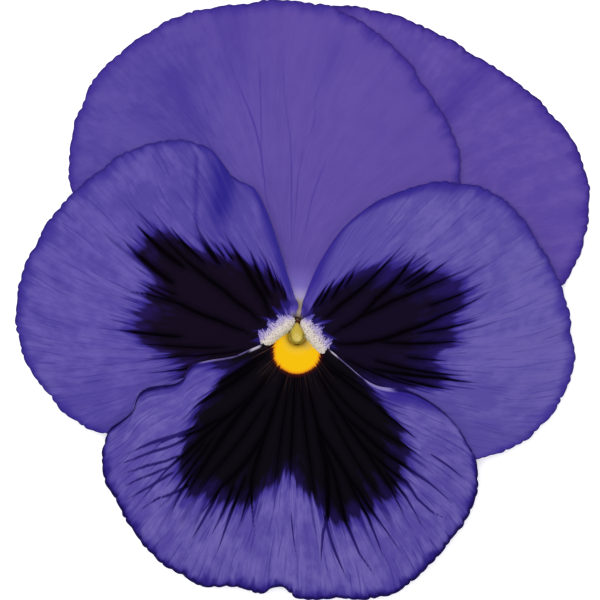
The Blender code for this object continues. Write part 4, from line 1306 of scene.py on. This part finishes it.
def sepal_sheet(bearing, length, tip_height, seed):
    """Path: the ear's points, then distance 2.7 + (length - 2.7) t and height from 6.45 to the
    tip's plus 0.35 sin(pi t). Half width w: 0.25 (1 - t^8) + 0.7 (1 - t)^2 + 0.03
    + 5.6 t (1 - t)^0.9 (1 - 0.32 t), with fine teeth. The cross-section is cupped by
    0.1 w side^2, and has ribs and a groove in the middle."""
    t = np.linspace(0.06, 1.0, 60)
    blade = np.column_stack([
        2.7 + (length - 2.7) * t, 6.45 + (tip_height - 6.45) * t + 0.35 * np.sin(np.pi * t),
        0.25 * (1 - t ** 8) + 0.7 * (1 - t) ** 2 + 5.6 * t * (1 - t) ** 0.9 * (1 - 0.32 * t) + 0.03])
    nodes = np.vstack([EAR, blade])
    share = np.linspace(0, 1, SEPAL_ROWS)
    run = walked(nodes[:, :2])
    distance, height, half = read_off(nodes, share, run / run[-1])
    half = half * (1 + 0.035 * ripple(share * 30, (1.3, 2.1, 3.7), seed) * rise(share, 0.25, 0.4))
    side = np.linspace(-1, 1, SEPAL_COLUMNS)
    ribs = 0.03 * np.cos(side * 9.5)
    groove = -0.09 * np.exp(-(side / 0.1) ** 2)
    over = half[:, None] * side
    out = distance[:, None] + 0 * side
    up = (height[:, None] + 0.1 * half[:, None] * side ** 2
          + (ribs + groove) * np.minimum(half, 1)[:, None])
    a = np.radians(bearing)
    x = AXIS[0] + out * np.cos(a) + over * np.sin(a)
    y = AXIS[1] + out * np.sin(a) - over * np.cos(a)
    thickness = 0.34 - 0.2 * np.abs(side[None, ::-1]) ** 3
    points, faces, back = sheet(np.dstack([x, y, up])[:, ::-1], thickness)
    grid = np.dstack([over, np.broadcast_to(share[:, None], over.shape) * (length + 3),
                      np.broadcast_to(side, over.shape)])[:, ::-1].reshape(-1, 3)
    return points, faces, {"flow": np.concatenate([grid, grid]), "back": back}


leaf = Finish("sepal_skin", Roughness=0.5, Specular_IOR_Level=0.3)
width, out, side = leaf.flow()
lane = leaf.noise(leaf.vector(width * 2.6, out * 0.35), 3.0)
green = leaf.mix((92, 132, 54), (128, 164, 82), lane.rise(0.35, 0.7))
green = leaf.mix(green, (160, 186, 118), width.size().fall(0.05, 0.28))
green = leaf.mix(green, (86, 74, 96), out.rise(11.0, 17.0) * 0.4)
leaf.feed("Base Color", leaf.mix(green, (176, 196, 140), side.size().rise(0.86, 1.0) * 0.7))
leaf.bump(lane, 0.00012)
for seed, (name, measures) in enumerate(SEPALS.items()):
    points, faces, fields = sepal_sheet(*measures, 80 + seed)
    piece(name + "_blade", points, [faces], leaf, fields, [name])

# %% [markdown]
# ## Stem
# The flower stalk is cut, laid down and bends up to the calyx. It is ribbed, and two scale
# leaves stand opposite each other halfway, as on every pansy stalk.

# %% Stem
STEM = [  # x, y, height, radius
    (0.0, 1.3, 7.45, 1.5), (0.0, 1.3, 7.1, 2.0), (0.0, 1.3, 6.4, 2.3), (0.0, 1.3, 5.8, 2.05),
    (0.0, 1.31, 5.3, 1.45), (0.0, 1.32, 4.8, 1.02), (0.0, 1.3, 4.2, 0.95),
    (0.0, 1.15, 3.6, 0.95), (0.0, 0.85, 2.95, 0.95), (0.0, 0.35, 2.3, 0.95),
    (0.0, -0.4, 1.7, 0.95), (0.0, -1.4, 1.2, 0.95), (0.0, -2.6, 0.97, 0.95),
    (0.0, -4.0, 0.93, 0.95), (-0.1, -7.0, 0.93, 0.95), (-0.3, -11.0, 0.93, 0.96),
    (-0.5, -15.0, 0.93, 0.98), (-0.6, -19.0, 0.93, 0.95), (-0.5, -23.0, 0.93, 0.93),
    (-0.3, -26.5, 0.93, 0.93), (-0.1, -29.0, 0.93, 0.95)]
SCALES = [((-0.4, -13.0), 124), ((-0.45, -14.2), 58)]         # start, bearing
SCALE_SHAPE = [(0.2, 0.95, 0.45), (1.0, 1.1, 0.62), (1.9, 1.35, 0.66), (2.9, 1.75, 0.5),
               (3.9, 2.25, 0.08)]     # distance, height, half width
EVERY, SCALE_RINGS, SCALE_SIDES = 28, 26, 20    # the first: points of the curve for a ring

curve, _, _ = smooth_curve(np.array(STEM))
centres, radius = curve[::EVERY, :3], curve[::EVERY, 3:]
tangent = unit(np.gradient(centres, axis=0))
sideways = unit(np.cross(tangent, (1.0, 0.0, 0.0)))
other = np.cross(tangent, sideways)
points, quads, fans = tubes(centres[None], (sideways * radius)[None], (other * radius)[None], SIDES)
ring_angle = np.tile(np.arange(SIDES) * 2 * np.pi / SIDES, len(centres))
rib = 0.045 * np.cos(5 * ring_angle + 0.4) + 0.02 * np.cos(11 * ring_angle)
middle = np.repeat(centres, SIDES, axis=0)
points[:-2] = middle + (points[:-2] - middle) * (1 + rib)[:, None]
points[:, 2] = np.maximum(points[:, 2], 0.01)
way_along = np.append(np.repeat(np.linspace(0, 1, len(centres)), SIDES), [0, 1]) * 42
stem_flow = np.column_stack([np.append(ring_angle, [0, 0]), way_along, np.zeros(len(points))])
parts, quad_groups, fan_groups, flows = [points], [quads], [fans], [stem_flow]
for (start_x, start_y), bearing in SCALES:
    a = np.radians(bearing)
    distance, height, half = read_off(SCALE_SHAPE, np.linspace(0, 1, SCALE_RINGS))
    centres = np.column_stack([start_x + distance * np.cos(a), start_y + distance * np.sin(a),
                               height])
    wide = half[:, None] * (-np.sin(a), np.cos(a), 0.0)
    thick = np.minimum(0.16, half)[:, None] * unit(np.cross(np.gradient(centres, axis=0), wide))
    leafy, quads, fans = tubes(centres[None], wide[None], thick[None], SCALE_SIDES)
    offset = sum(len(part) for part in parts)
    parts.append(leafy)
    quad_groups.append(quads + offset)
    fan_groups.append(fans + offset)
    flows.append(np.column_stack([leafy[:, 0] * 3, leafy[:, 1], np.ones(len(leafy))]))

stalk = Finish("stem_skin", Roughness=0.5, Specular_IOR_Level=0.3)
round_way, length_way, scale_leaf = stalk.flow()
fibre = stalk.noise(stalk.vector(round_way * 2.0, length_way * 0.4), 3.0)
green = stalk.mix((112, 146, 70), (142, 172, 96), fibre.rise(0.3, 0.7))
green = stalk.mix(green, (172, 190, 128), length_way.rise(41.2, 41.8))
# Painted shade: the stalk's top at the receptacle, seen only through the gap between the petals'
# claws, is dark brown, though the receptacle is green.
green = stalk.mix(green, (92, 46, 30), stalk.here()[2].rise(6.7, 7.2))
stalk.feed("Base Color", stalk.mix(green, (150, 160, 112), scale_leaf * 0.5))
stalk.bump(fibre, 0.0001)
piece("stem_stalk", np.concatenate(parts),
      [np.concatenate(quad_groups), np.concatenate(fan_groups)], stalk,
      {"flow": np.concatenate(flows)}, ["pedicel"])
